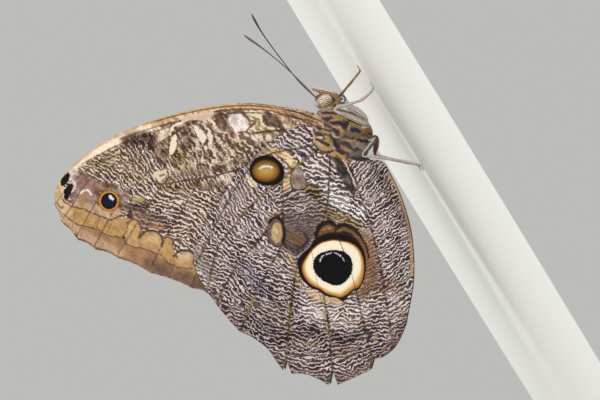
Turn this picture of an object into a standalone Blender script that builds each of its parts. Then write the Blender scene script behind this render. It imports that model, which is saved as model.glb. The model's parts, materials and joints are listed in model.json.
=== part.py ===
"""An owl butterfly at rest, wings closed over its back, at life size.

The head points to +X, up is +Z and the insect's right side faces -Y.
Every size below is in millimetres. A shape is worked out in millimetres and
only its finished vertices are turned into metres.

The origin of the model is the middle of the floor area that it covers.
"""
import math

import bmesh
import bpy
import numpy as np
from mathutils import Vector
from mathutils.geometry import delaunay_2d_cdt

MM = 0.001
GAP = 0.3                      # air that touching pieces keep between them
RIGHT, LEFT = -1, 1            # sign of y on either side
FLOOR = 0.0

# Thorax, head and abdomen are lofts along X.
# A station is (x, z, half height, half width, tilt in degrees of its upper end towards the head).
THORAX = [
    (3.0, 13.8, 2.9, 2.4, 31),
    (1.2, 13.4, 4.3, 3.5, 22),
    (-1.6, 13.0, 5.6, 4.3, 12),
    (-5.0, 12.75, 6.6, 4.8, 0),
    (-8.6, 12.65, 6.9, 4.7, -5),
    (-11.6, 12.75, 5.85, 4.0, -10),
    (-13.8, 13.1, 3.6, 2.9, -10),
]
HEAD = [
    (3.26, 13.65, 2.5, 2.0, 31),
    (4.2, 13.4, 3.0, 2.4, 20),
    (5.6, 13.2, 2.8, 2.3, 10),
    (6.9, 13.3, 2.0, 1.7, 0),
    (7.7, 13.5, 0.8, 0.8, 0),
]
ABDOMEN_START = (-14.15, 13.2)
ABDOMEN_END = (-34.5, 14.3)
ABDOMEN_HALF_WIDTH = 2.3
ABDOMEN_HALF_HEIGHT = 2.8
ABDOMEN_RINGS = 7              # visible segments
ROUND_SIDES = 20               # sides of the lofted body pieces

EYE_CENTRE = (4.9, 2.1, 13.3)
EYE_RADII = (1.75, 1.5, 2.25)

# Wings: distance of each wing's middle surface from the plane between the wings.
FORE_Y = 0.75
HIND_Y = 1.95
MEMBRANE = 0.5                 # thickness of the wing between its veins
VEIN_RISE_ROOT = 0.45          # how much thicker the wing is on a vein, both faces together
VEIN_RISE_TIP = 0.25
VEIN_HALF_WIDTH = 0.5
VEIN_STEP = 3.0                # spacing of points along a vein
MARGIN_STEP = 2.2
FILL_STEP = 6.0
FOLD_STEP = 1.9                # closer fill where the hindwing is folded round the abdomen
FOLD_TOP = 19.0
FOLD_REAR = -44.0
LEFT_TURN = 0.6                # degrees that the left wings are lowered at the root
WING_ROOT = (-3.0, 18.0)
WING_REACH = 75.0              # length of the forewing
WING_OPENING = 1.6             # how far each wing bends outwards at that reach

FORE_COSTA = [
    (-1.0, 15.6), (2.2, 16.6), (4.6, 18.4), (9.2, 23.4), (14.4, 29.9), (19.1, 38.3), (23.0, 48.8),
    (25.8, 60.0), (27.1, 70.5), (26.3, 80.5), (23.4, 88.2), (19.5, 91.4),
]
FORE_VEIN_ENDS = [
    (19.5, 91.4), (14.6, 92.2), (8.7, 91.1), (3.8, 88.3), (-1.6, 84.2), (-9.7, 78.9), (-19.5, 71.3),
    (-23.4, 68.2),
]
FORE_SCALLOP = 0.45
FORE_INNER_MARGIN = [(-23.4, 68.2), (-17.4, 53.0), (-12.6, 38.0), (-8.6, 25.0), (-6.6, 19.5), (-5.0, 16.0)]
FORE_VEINS = {
    "subcosta": [(2.2, 18.2), (7.6, 22.7), (13.8, 30.2), (18.5, 38.6), (22.5, 49.1), (25.0, 57.9)],
    "radius": [(0.8, 18.0), (6.8, 24.2), (12.1, 31.2), (16.0, 38.2), (18.6, 45.4), (18.9, 52.9)],
    "radius 1": [(16.0, 38.2), (20.8, 49.0), (23.7, 58.9), (25.3, 66.8)],
    "radius 2": [(18.6, 45.4), (21.6, 55.3), (24.2, 67.4), (25.0, 79.1)],
    "radius 3 and 4": [(18.8, 60.1), (21.9, 69.6), (23.0, 78.2), (21.7, 84.8), (19.5, 91.4)],
    "radius 5": [(18.3, 65.2), (20.4, 74.2), (19.6, 81.7), (16.6, 87.5), (14.6, 92.2)],
    "media 1": [(18.9, 52.9), (18.8, 60.1), (18.3, 65.2), (17.0, 72.5), (14.6, 80.0), (8.7, 91.1)],
    "media 2": [(15.9, 57.0), (13.8, 64.1), (12.0, 71.7), (9.2, 79.0), (3.8, 88.3)],
    "media 3": [(8.7, 63.1), (6.1, 68.9), (3.1, 75.0), (-1.6, 84.2)],
    "cubitus 1": [(4.7, 53.5), (0.6, 60.9), (-4.0, 69.5), (-9.7, 78.9)],
    "cubitus 2": [(0.9, 43.0), (-4.5, 51.6), (-12.5, 61.8), (-19.5, 71.3)],
    "cubitus": [(-2.7, 19.3), (-2.1, 28.7), (-1.1, 36.1), (0.9, 43.0), (4.7, 53.5), (8.7, 63.1)],
    "anal": [(-4.8, 19.6), (-7.2, 35.1), (-12.7, 49.7), (-22.0, 66.3)],
    "cell end": [(18.9, 52.9), (15.9, 57.0), (12.3, 60.5), (8.7, 63.1)],
}

HIND_COSTA = [
    (-3.0, 16.6), (-0.8, 18.9), (1.2, 20.9), (2.7, 23.8), (3.3, 28.0), (2.6, 34.8), (0.3, 44.7), (-2.9, 51.1),
    (-6.4, 58.4), (-10.2, 64.0), (-15.2, 67.4), (-22.8, 68.1), (-27.2, 67.8),
]
HIND_LOBES = [
    [(-27.2, 67.8), (-32.4, 67.1), (-37.0, 66.2)],
    [(-37.0, 66.2), (-42.6, 63.9), (-48.6, 62.4), (-52.1, 61.6)],
    [(-52.1, 61.6), (-49.9, 59.3)],
    [(-49.9, 59.3), (-54.1, 60.1)],
    [(-54.1, 60.1), (-56.0, 57.2), (-59.2, 54.6), (-62.1, 53.1)],
    [(-62.1, 53.1), (-58.8, 49.9)],
    [(-58.8, 49.9), (-63.4, 50.9)],
    [(-63.4, 50.9), (-64.0, 46.2), (-64.6, 41.2)],
    [(-64.6, 41.2), (-62.1, 39.2)],
]
HIND_INNER_MARGIN = [
    (-62.1, 39.2), (-63.4, 36.2), (-63.0, 32.8), (-58.9, 26.2), (-49.8, 18.2), (-39.1, 12.2), (-29.0, 9.2),
    (-21.4, 8.3), (-18.2, 8.4), (-16.2, 10.0), (-15.1, 13.0),
]
HIND_ROOT_EDGE = [(-15.1, 13.0), (-12.5, 15.6), (-8.0, 15.8), (-3.0, 16.6)]
HIND_VEINS = {
    "subcosta": [(-3.9, 19.6), (-3.1, 24.5), (-1.3, 28.9), (0.4, 34.3), (0.1, 39.6), (-2.1, 45.5),
                 (-6.4, 53.3), (-10.9, 60.6), (-15.2, 67.4)],
    "radius": [(-5.4, 21.0), (-6.5, 30.4), (-7.7, 38.6), (-9.2, 46.0), (-11.6, 53.2), (-14.8, 60.1),
               (-22.8, 68.1)],
    "media 1": [(-7.0, 34.4), (-14.5, 38.9), (-17.2, 45.1), (-19.3, 52.2), (-22.3, 60.0), (-27.2, 67.8)],
    "media 2": [(-14.5, 38.9), (-21.9, 42.7), (-26.6, 50.8), (-31.0, 57.8), (-37.0, 66.2)],
    "media 3": [(-27.5, 37.2), (-28.6, 42.1), (-33.8, 46.9), (-41.0, 52.6), (-49.9, 59.3)],
    "cubitus 1": [(-27.5, 37.2), (-37.7, 40.5), (-47.0, 44.0), (-58.8, 49.9)],
    "cubitus": [(-8.7, 19.8), (-14.3, 23.6), (-21.3, 28.9), (-27.5, 37.2)],
    "cubitus 2": [(-21.3, 28.9), (-29.6, 30.1), (-38.4, 31.6), (-48.0, 34.4), (-62.1, 39.2)],
    "anal 2": [(-12.4, 18.4), (-18.8, 18.2), (-25.4, 19.0), (-33.5, 21.2), (-44.1, 24.8), (-63.0, 32.8)],
    "cell end": [(-28.6, 42.1), (-21.9, 42.7)],
}
HUMERAL_LOBE_CENTRE = (-4.2, 19.2)      # the raised oval at the root of each hindwing
HUMERAL_LOBE_RADII = (1.9, 0.75, 2.3)

# Legs: (x, distance from the middle plane, z, radius), from inside the thorax to the foot.
MID_LEG_RIGHT = [
    (-6.2, 2.6, 8.4, 0.7), (-6.8, 4.4, 6.9, 0.78), (-2.6, 5.7, 9.5, 0.8), (1.3, 6.3, 12.2, 0.48),
    (1.0, 6.9, 9.6, 0.46), (-0.2, 8.2, 5.0, 0.42), (0.2, 8.9, 1.5, 0.34), (0.9, 9.1, 0.16, 0.28),
    (2.4, 9.2, 0.14, 0.26),
]
MID_LEG_LEFT = [
    (-6.2, 2.6, 8.4, 0.7), (-6.6, 4.4, 6.9, 0.78), (-1.8, 5.8, 9.5, 0.8), (2.6, 6.4, 12.1, 0.48),
    (3.6, 6.9, 10.2, 0.46), (4.6, 7.5, 7.2, 0.42), (6.2, 8.5, 2.6, 0.34), (7.2, 9.0, 0.16, 0.28),
    (8.7, 9.2, 0.14, 0.26),
]
HIND_LEG_RIGHT = [
    (-10.2, 2.2, 8.6, 0.7), (-11.2, 4.2, 6.8, 0.7), (-12.4, 5.8, 9.6, 0.62), (-13.4, 6.9, 12.0, 0.46),
    (-15.2, 7.6, 9.8, 0.45), (-20.0, 8.8, 4.2, 0.4), (-22.6, 9.2, 1.5, 0.33), (-24.0, 9.4, 0.16, 0.28),
    (-25.5, 9.5, 0.14, 0.26),
]
HIND_LEG_LEFT = [
    (-10.2, 2.2, 8.6, 0.7), (-11.0, 4.2, 6.4, 0.85), (-13.0, 5.8, 7.4, 0.85), (-14.9, 6.9, 8.8, 0.5),
    (-16.8, 7.8, 7.3, 0.45), (-20.8, 8.9, 3.2, 0.4), (-22.4, 9.3, 1.4, 0.33), (-23.6, 9.5, 0.16, 0.28),
    (-25.1, 9.7, 0.14, 0.26),
]
FORE_LEG = [
    (-5.1, 1.9, 8.8, 0.7), (-5.6, 2.0, 6.7, 0.85), (-4.9, 2.05, 6.3, 0.95), (-3.6, 2.1, 6.6, 1.05),
    (-1.8, 2.1, 7.3, 1.0), (-0.2, 2.0, 8.1, 0.75), (1.3, 1.9, 8.2, 0.4),
]
LEG_SIDES_LEVEL = 2            # a bevel resolution of 2 gives eight sides

ANTENNA_RIGHT = [
    (5.6, 0.9, 14.2, 0.3), (7.1, 1.3, 14.8, 0.28), (12.7, 3.0, 16.1, 0.26), (18.2, 4.7, 17.6, 0.26),
    (23.5, 6.4, 19.4, 0.26), (27.3, 7.6, 20.9, 0.34), (30.0, 8.4, 22.1, 0.4), (31.7, 8.9, 22.8, 0.2),
]
ANTENNA_LEFT = [
    (5.6, 0.9, 14.2, 0.3), (7.1, 1.3, 14.8, 0.28), (12.7, 2.8, 16.3, 0.26), (17.1, 4.0, 16.9, 0.26),
    (24.0, 5.8, 17.6, 0.26), (30.0, 7.2, 18.0, 0.28), (34.4, 8.1, 17.9, 0.4), (36.3, 8.5, 17.7, 0.2),
]
PALP = [
    (3.0, 1.3, 11.2, 0.5), (2.8, 1.4, 10.1, 0.7), (3.7, 1.4, 9.8, 0.75), (5.0, 1.35, 10.2, 0.75),
    (6.2, 1.25, 11.2, 0.72), (7.4, 1.1, 12.3, 0.68), (8.6, 0.9, 13.5, 0.42), (9.5, 0.8, 14.25, 0.2),
]
COIL_CENTRE = (2.75, 9.15)     # the curled proboscis
COIL_RADIUS = 1.42
COIL_PITCH = 0.85
COIL_TURNS = 1.35
COIL_TUBE = 0.28

COLOURS = {
    "head": (0.30, 0.22, 0.14),
    "thorax": (0.36, 0.26, 0.15),
    "abdomen": (0.30, 0.24, 0.19),
    "eye": (0.62, 0.55, 0.42),
    "palp": (0.55, 0.33, 0.17),
    "proboscis": (0.13, 0.11, 0.12),
    "antenna": (0.12, 0.08, 0.06),
    "leg": (0.56, 0.47, 0.42),
    "forewing": (0.46, 0.34, 0.22),
    "hindwing": (0.33, 0.28, 0.25),
}


def smooth01(t):
    """Zero below 0, one above 1, with a soft start and end."""
    t = np.clip(t, 0.0, 1.0)
    return t * t * (3.0 - 2.0 * t)


def smooth_path(points, per_span=6):
    """A curve through all the points: each span is a cubic whose ends follow their neighbours."""
    p = np.asarray(points, dtype=float)
    before = np.vstack([2 * p[0] - p[1], p[:-1]])
    after = np.vstack([p[1:], 2 * p[-1] - p[-2]])
    slope = (after - before) / 2.0
    out = []
    for i in range(len(p) - 1):
        t = np.linspace(0.0, 1.0, per_span, endpoint=False)[:, None]
        out.append((2 * t**3 - 3 * t**2 + 1) * p[i] + (t**3 - 2 * t**2 + t) * slope[i]
                   + (-2 * t**3 + 3 * t**2) * p[i + 1] + (t**3 - t**2) * slope[i + 1])
    return np.vstack(out + [p[-1:]])


def resample(path, step):
    """Points about one step apart along a path, with both ends kept."""
    length = np.concatenate([[0.0], np.cumsum(np.linalg.norm(np.diff(path, axis=0), axis=1))])
    count = max(1, int(round(length[-1] / step)))
    at = np.linspace(0.0, length[-1], count + 1)
    return np.column_stack([np.interp(at, length, path[:, k]) for k in range(path.shape[1])])


def scallops(ends, sag):
    """The wavy edge between vein ends: each span swells outwards like a shallow arch."""
    out = []
    for a, b in zip(ends, ends[1:]):
        a, b = np.array(a), np.array(b)
        along = b - a
        outward = np.array([-along[1], along[0]]) / np.linalg.norm(along)
        t = np.linspace(0.0, 1.0, 5, endpoint=False)[:, None]
        out.append(a + along * t + outward * sag * np.sin(np.pi * t))
    return np.vstack(out + [np.array(ends[-1])[None, :]])


def closed_outline(stretches, step):
    """One closed ring of points from stretches that meet at corners."""
    return np.vstack([resample(np.asarray(s), step)[:-1] for s in stretches])


def inside(ring, points):
    """True for each point that a closed ring of points surrounds."""
    x, z = points[:, 0][:, None], points[:, 1][:, None]
    ax, az = ring[:, 0], ring[:, 1]
    bx, bz = np.roll(ax, -1), np.roll(az, -1)
    spans = (az > z) != (bz > z)
    with np.errstate(divide="ignore", invalid="ignore"):
        crossing = ax + (z - az) * (bx - ax) / (bz - az)
    return (np.sum(spans & (x < crossing), axis=1) % 2) == 1


def opening(x, z):
    """How far a resting wing bends outwards, growing with the square of the way from its root."""
    return WING_OPENING * ((x - WING_ROOT[0])**2 + (z - WING_ROOT[1])**2) / WING_REACH**2


def root_flare(z):
    """The wings part near the body, down to their roots on the sides of the thorax."""
    return 1.6 * smooth01((27.0 - z) / 8.5)


def fore_lift(x, z):
    """Distance of the forewing's middle surface from the middle plane."""
    return FORE_Y + root_flare(z) + opening(x, z)


def hind_lift(x, z):
    """The hindwing lies over the forewing, swells round the abdomen and closes under it."""
    level = z - (13.2 - 0.054 * (x + 14.0))
    beside = smooth01((x + 42.0) / 12.0)
    over = 1.0 - smooth01((level - 0.5) / 7.5)
    under = smooth01((level + 4.4) / 3.4)
    lower_edge = 0.65
    swell = np.maximum(1.35 * over * beside, root_flare(z) * smooth01((x + 20.0) / 8.0))
    return lower_edge + (HIND_Y - lower_edge + swell) * under + opening(x, z)


def new_object(name, mesh, colour, collection):
    """A named object with its own material."""
    obj = bpy.data.objects.new(name, mesh)
    material = bpy.data.materials.new(name + " surface")
    material.use_nodes = True
    shader = material.node_tree.nodes["Principled BSDF"]
    shader.inputs["Base Color"].default_value = (*colour, 1.0)
    shader.inputs["Roughness"].default_value = 0.25 if "eye" in name else 0.7
    shader.inputs["Metallic"].default_value = 0.0
    mesh.materials.clear()
    mesh.materials.append(material)
    collection.objects.link(obj)
    return obj


def mesh_from(name, points, faces):
    """A mesh in metres from points in millimetres."""
    mesh = bpy.data.meshes.new(name)
    mesh.from_pydata([tuple(float(c) * MM for c in p) for p in points], [], faces)
    mesh.update()
    return mesh


def face_out(mesh, weld=0.0):
    """Turn every face of a closed mesh outwards, and weld loose caps to their walls."""
    shape = bmesh.new()
    shape.from_mesh(mesh)
    if weld:
        bmesh.ops.remove_doubles(shape, verts=shape.verts, dist=weld)
    bmesh.ops.recalc_face_normals(shape, faces=shape.faces)
    shape.to_mesh(mesh)
    shape.free()


def loft(name, stations, sides=ROUND_SIDES, grow=0.0):
    """A closed skin over a row of ovals, with a flat end at each side.

    Grown, it is the same form with every surface moved out by that much.
    """
    rows = resample(smooth_path(stations, 3), 1.4)
    points, faces = [], []
    last = len(rows) - 1
    turn = [2 * math.pi * k / sides for k in range(sides)]
    for i, (x, z, half_height, half_width, tilt) in enumerate(rows):
        lean = math.radians(tilt)
        push = grow * (1 if i == 0 else -1 if i == last else 0)
        push *= 1 if rows[0][0] > rows[-1][0] else -1
        for a in turn:
            up = (half_height + grow) * math.cos(a)
            points.append((x + push * math.cos(lean) + up * math.sin(lean),
                           (half_width + grow) * math.sin(a),
                           z - push * math.sin(lean) + up * math.cos(lean)))
    for i in range(last):
        for k in range(sides):
            a, b = i * sides + k, i * sides + (k + 1) % sides
            faces.append((a, b, b + sides, a + sides))
    faces.append(tuple(range(sides)))
    faces.append(tuple(last * sides + k for k in range(sides)))
    mesh = mesh_from(name, points, faces)
    face_out(mesh)
    return mesh


def ellipsoid(name, centre, radii, segments=16, rings=10):
    """A stretched ball."""
    shape = bmesh.new()
    bmesh.ops.create_uvsphere(shape, u_segments=segments, v_segments=rings, radius=1.0)
    bmesh.ops.scale(shape, vec=Vector(radii) * MM, verts=shape.verts)
    bmesh.ops.translate(shape, vec=Vector(centre) * MM, verts=shape.verts)
    mesh = bpy.data.meshes.new(name)
    shape.to_mesh(mesh)
    shape.free()
    return mesh


def tube(name, route, side, spacing=1.3):
    """A tapering tube along a smooth route of (x, distance from the middle, z, radius)."""
    rows = resample(smooth_path(route, 5), spacing)
    curve = bpy.data.curves.new(name, "CURVE")
    curve.dimensions = "3D"
    curve.bevel_depth = MM
    curve.bevel_resolution = LEG_SIDES_LEVEL
    curve.use_fill_caps = True
    spline = curve.splines.new("POLY")
    spline.points.add(len(rows) - 1)
    for point, (x, out, z, radius) in zip(spline.points, rows):
        point.co = (x * MM, side * out * MM, z * MM, 1.0)
        point.radius = radius
    obj = bpy.data.objects.new(name, curve)
    bpy.context.scene.collection.objects.link(obj)
    bpy.context.view_layer.update()
    mesh = bpy.data.meshes.new_from_object(obj.evaluated_get(bpy.context.evaluated_depsgraph_get()))
    bpy.data.objects.remove(obj)
    face_out(mesh, 0.00001)
    return mesh


def largest_surface(mesh):
    """Keep only the biggest connected closed surface, with its faces pointing out."""
    shape = bmesh.new()
    shape.from_mesh(mesh)
    bmesh.ops.remove_doubles(shape, verts=shape.verts, dist=0.000001)
    left = set(shape.verts)
    groups = []
    while left:
        group, front = set(), [next(iter(left))]
        while front:
            vertex = front.pop()
            if vertex in group:
                continue
            group.add(vertex)
            front.extend(edge.other_vert(vertex) for edge in vertex.link_edges)
        left -= group
        groups.append(group)
    biggest = max(groups, key=lambda g: sum(f.calc_area() for f in {f for v in g for f in v.link_faces}))
    bmesh.ops.delete(shape, geom=[v for v in shape.verts if v not in biggest], context="VERTS")
    bmesh.ops.recalc_face_normals(shape, faces=shape.faces)
    shape.to_mesh(mesh)
    shape.free()


def boolean(obj, operation, others, cutters):
    """Join closed meshes to an object, or cut them out of it, and keep one closed surface."""
    for mesh in others:
        tool = bpy.data.objects.new(mesh.name, mesh)
        tool.hide_render = True
        tool.display_type = "WIRE"
        cutters.objects.link(tool)
        step = obj.modifiers.new(operation.lower(), "BOOLEAN")
        step.operation = operation
        step.object = tool
    bpy.context.view_layer.update()
    evaluated = obj.evaluated_get(bpy.context.evaluated_depsgraph_get())
    result = bpy.data.meshes.new_from_object(evaluated)
    obj.modifiers.clear()
    old = obj.data
    obj.data = result
    bpy.data.meshes.remove(old)
    for tool in list(cutters.objects):
        bpy.data.objects.remove(tool)
    largest_surface(obj.data)


def wing_plan(outline, veins):
    """Flat points of a wing, with the lines that its triangles must keep and each point's rise.

    Points come in order of weight: the margin, the crest of each vein, the foot of each ridge
    and then a loose fill. A point too near an earlier one is left out.
    """
    points = list(outline)
    rise = [0.0] * len(points)
    count = len(outline)
    edges = [(i, (i + 1) % count) for i in range(count)]
    root = np.array(WING_ROOT)
    crests = []
    for route in veins.values():
        crest = resample(smooth_path(route), VEIN_STEP)
        previous = None
        for p in crest:
            away = np.linalg.norm(np.array(points) - p, axis=1)
            nearest = int(np.argmin(away))
            if away[nearest] > 0.9:
                if not inside(outline, p[None, :])[0]:
                    previous = None
                    continue
                points.append(p)
                reach = np.linalg.norm(p - root) / WING_REACH
                rise.append(VEIN_RISE_ROOT + (VEIN_RISE_TIP - VEIN_RISE_ROOT) * min(1.0, reach))
                nearest = len(points) - 1
            if previous is not None and previous != nearest:
                edges.append((previous, nearest))
            previous = nearest
        crests.append(resample(crest, 0.5))
    line = np.vstack(crests)
    for route in veins.values():
        crest = resample(smooth_path(route), VEIN_STEP)
        along = np.gradient(crest, axis=0)
        normal = np.column_stack([-along[:, 1], along[:, 0]]) / np.linalg.norm(along, axis=1)[:, None]
        for p in np.vstack([crest + normal * VEIN_HALF_WIDTH, crest - normal * VEIN_HALF_WIDTH]):
            clear = np.min(np.linalg.norm(line - p, axis=1)) > 0.8 * VEIN_HALF_WIDTH
            apart = np.min(np.linalg.norm(np.array(points) - p, axis=1)) > 0.8 * VEIN_HALF_WIDTH
            if clear and apart and inside(outline, p[None, :])[0]:
                points.append(p)
                rise.append(0.0)
    low, high = outline.min(axis=0), outline.max(axis=0)
    for step, top in ((FOLD_STEP, FOLD_TOP), (FILL_STEP, high[1])):
        for x in np.arange(FOLD_REAR if step == FOLD_STEP else low[0], high[0], step):
            for z in np.arange(low[1], top, step):
                p = np.array([x, z + 0.5 * step * (round((x - low[0]) / step) % 2)])
                apart = np.min(np.linalg.norm(np.array(points) - p, axis=1)) > 0.6 * step
                if apart and inside(outline, p[None, :])[0]:
                    points.append(p)
                    rise.append(0.0)
    return points, edges, rise


def wing(name, outline, veins, lift, side, collection):
    """A thin wing with its veins as ridges on both faces.

    The flat plan is cut into triangles, bent by the lift, and thickened from its middle
    surface, so that both faces have the same triangles. The vertex group says how thick.
    """
    points, edges, rise = wing_plan(outline, veins)
    flat, _, faces, source, _, _ = delaunay_2d_cdt([Vector(p) for p in points], edges, [], 1, 0.0001)
    x = np.array([p[0] for p in flat])
    z = np.array([p[1] for p in flat])
    if side == LEFT:
        turn = math.radians(LEFT_TURN)
        dx, dz = x - WING_ROOT[0], z - WING_ROOT[1]
        x = WING_ROOT[0] + dx * math.cos(turn) - dz * math.sin(turn)
        z = WING_ROOT[1] + dx * math.sin(turn) + dz * math.cos(turn)
    y = side * lift(x, z)
    mesh = mesh_from(name, np.column_stack([x, y, z]), faces)
    obj = new_object(name, mesh, COLOURS[name.split("_")[0]], collection)
    thickest = MEMBRANE + VEIN_RISE_ROOT
    group = obj.vertex_groups.new(name="thickness")
    for i, origins in enumerate(source):
        own = rise[origins[0]] if origins else VEIN_RISE_TIP
        group.add([i], (MEMBRANE + own) / thickest, "REPLACE")
    shell = obj.modifiers.new("thickness", "SOLIDIFY")
    shell.thickness = thickest * MM
    shell.offset = 0.0
    shell.use_rim = True
    shell.vertex_group = group.name
    return obj


def fore_outline():
    """The forewing: leading edge, wavy outer edge, and the inner edge that the hindwing hides."""
    return closed_outline([smooth_path(FORE_COSTA), scallops(FORE_VEIN_ENDS, FORE_SCALLOP),
                           smooth_path(FORE_INNER_MARGIN),
                           [FORE_INNER_MARGIN[-1], FORE_COSTA[0]]], MARGIN_STEP)


def hind_outline():
    """The hindwing: rounded leading edge, toothed outer edge and the edge folded under the abdomen."""
    lobes = [smooth_path(lobe) for lobe in HIND_LOBES]
    return closed_outline([smooth_path(HIND_COSTA), *lobes, smooth_path(HIND_INNER_MARGIN),
                           smooth_path(HIND_ROOT_EDGE)], MARGIN_STEP)


def abdomen_stations():
    """Seven rings, each a little fuller in its middle, narrowing to the tail."""
    stations = []
    steps = ABDOMEN_RINGS * 3
    for i in range(steps + 1):
        t = i / steps
        body = min(1.0, 0.8 + 1.6 * t) * math.sqrt(max(0.02, 1.0 - (max(0.0, t - 0.45) / 0.58)**2))
        ring = 1.0 - 0.035 * (1.0 + math.cos(2 * math.pi * t * ABDOMEN_RINGS))
        x = ABDOMEN_START[0] + (ABDOMEN_END[0] - ABDOMEN_START[0]) * t
        z = ABDOMEN_START[1] + (ABDOMEN_END[1] - ABDOMEN_START[1]) * t
        half_height = ABDOMEN_HALF_HEIGHT * body * ring
        half_width = ABDOMEN_HALF_WIDTH * body * ring
        stations.append((x, z, half_height, half_width, -10 * (1 - t)))
    return stations


def proboscis_route():
    """From the mouth down into a flat spiral that winds inwards."""
    route = [(4.3, 0.0, 11.6, COIL_TUBE), (4.3, 0.0, 10.4, COIL_TUBE)]
    steps = int(COIL_TURNS * 14)
    for i in range(steps + 1):
        turned = 2 * math.pi * COIL_TURNS * i / steps
        radius = COIL_RADIUS - COIL_PITCH * turned / (2 * math.pi)
        route.append((COIL_CENTRE[0] + radius * math.cos(turned - 0.2), 0.0,
                      COIL_CENTRE[1] - radius * math.sin(turned - 0.2), COIL_TUBE))
    return route


def floor_cutter():
    """Everything below the floor, so that each foot ends in a small flat."""
    shape = bmesh.new()
    bmesh.ops.create_cube(shape, size=1.0)
    bmesh.ops.scale(shape, vec=Vector((0.12, 0.06, 0.004)), verts=shape.verts)
    bmesh.ops.translate(shape, vec=Vector((0.0, 0.0, FLOOR * MM - 0.002)), verts=shape.verts)
    mesh = bpy.data.meshes.new("floor")
    shape.to_mesh(mesh)
    shape.free()
    return mesh


def build():
    for old in list(bpy.data.objects):
        bpy.data.objects.remove(old)
    parts = bpy.data.collections.new("owl_butterfly")
    cutters = bpy.data.collections.new("cutters")
    bpy.context.scene.collection.children.link(parts)
    bpy.context.scene.collection.children.link(cutters)

    def thorax_space():
        return loft("thorax space", THORAX, grow=GAP)

    def head_space():
        return loft("head space", HEAD, grow=GAP)

    new_object("thorax", loft("thorax", THORAX), COLOURS["thorax"], parts)
    new_object("abdomen", loft("abdomen", abdomen_stations(), 16), COLOURS["abdomen"], parts)
    head = new_object("head", loft("head", HEAD), COLOURS["head"], parts)
    eye_spaces = [ellipsoid("eye space", (EYE_CENTRE[0], s * EYE_CENTRE[1], EYE_CENTRE[2]),
                            [r + GAP for r in EYE_RADII]) for s in (RIGHT, LEFT)]
    boolean(head, "DIFFERENCE", eye_spaces, cutters)
    proboscis = new_object("proboscis", tube("proboscis", proboscis_route(), RIGHT, 0.55),
                           COLOURS["proboscis"], parts)
    boolean(proboscis, "DIFFERENCE", [head_space()], cutters)

    for side, label in ((RIGHT, "right"), (LEFT, "left")):
        eye = ellipsoid("eye", (EYE_CENTRE[0], side * EYE_CENTRE[1], EYE_CENTRE[2]), EYE_RADII)
        new_object("eye_" + label, eye, COLOURS["eye"], parts)
        palp = new_object("palp_" + label, tube("palp", PALP, side, 0.7), COLOURS["palp"], parts)
        antenna_route = ANTENNA_RIGHT if side == RIGHT else ANTENNA_LEFT
        antenna = new_object("antenna_" + label, tube("antenna", antenna_route, side, 1.6),
                             COLOURS["antenna"], parts)
        for piece in (palp, antenna):
            boolean(piece, "DIFFERENCE", [head_space()], cutters)

        legs = {
            "foreleg_": FORE_LEG,
            "midleg_": MID_LEG_RIGHT if side == RIGHT else MID_LEG_LEFT,
            "hindleg_": HIND_LEG_RIGHT if side == RIGHT else HIND_LEG_LEFT,
        }
        for kind, route in legs.items():
            leg = new_object(kind + label, tube(kind, route, side), COLOURS["leg"], parts)
            boolean(leg, "DIFFERENCE", [thorax_space(), floor_cutter()], cutters)

        fore = wing("forewing_" + label, fore_outline(), FORE_VEINS, fore_lift, side, parts)
        boolean(fore, "DIFFERENCE", [thorax_space()], cutters)
        hind = wing("hindwing_" + label, hind_outline(), HIND_VEINS, hind_lift, side, parts)
        lobe_x, lobe_z = HUMERAL_LOBE_CENTRE
        lobe_y = side * (hind_lift(np.array(lobe_x), np.array(lobe_z)) + 0.4)
        lobe = ellipsoid("humeral lobe", (lobe_x, lobe_y, lobe_z), HUMERAL_LOBE_RADII, 14, 8)
        boolean(hind, "UNION", [lobe], cutters)
        boolean(hind, "DIFFERENCE", [thorax_space()], cutters)

    centre = bpy.data.objects.new("butterfly_origin", None)
    parts.objects.link(centre)
    corners = np.array([obj.matrix_world @ v.co for obj in parts.objects if obj.type == "MESH"
                        for v in obj.data.vertices])
    middle = (corners.min(axis=0) + corners.max(axis=0)) / 2.0
    centre.location = (-middle[0], -middle[1], -corners[:, 2].min())
    for obj in parts.objects:
        if obj.type == "MESH":
            obj.parent = centre
            obj.data.shade_smooth()
            obj.data.set_sharp_from_angle(angle=math.radians(40))


build()
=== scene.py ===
# %% [markdown]
# # An owl butterfly at rest
# The insect stands with its wings closed, so the undersides of the two right wings fill the view. The packed
# solids give every place and size. This script replaces each of them with a finer surface in the same place.
# All sizes are in millimetres until a finished piece is written, because a scale or a hair is easier to
# think of that way.

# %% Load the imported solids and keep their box
import json
import math

import bpy
import numpy as np
from mathutils import Matrix, Vector

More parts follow.
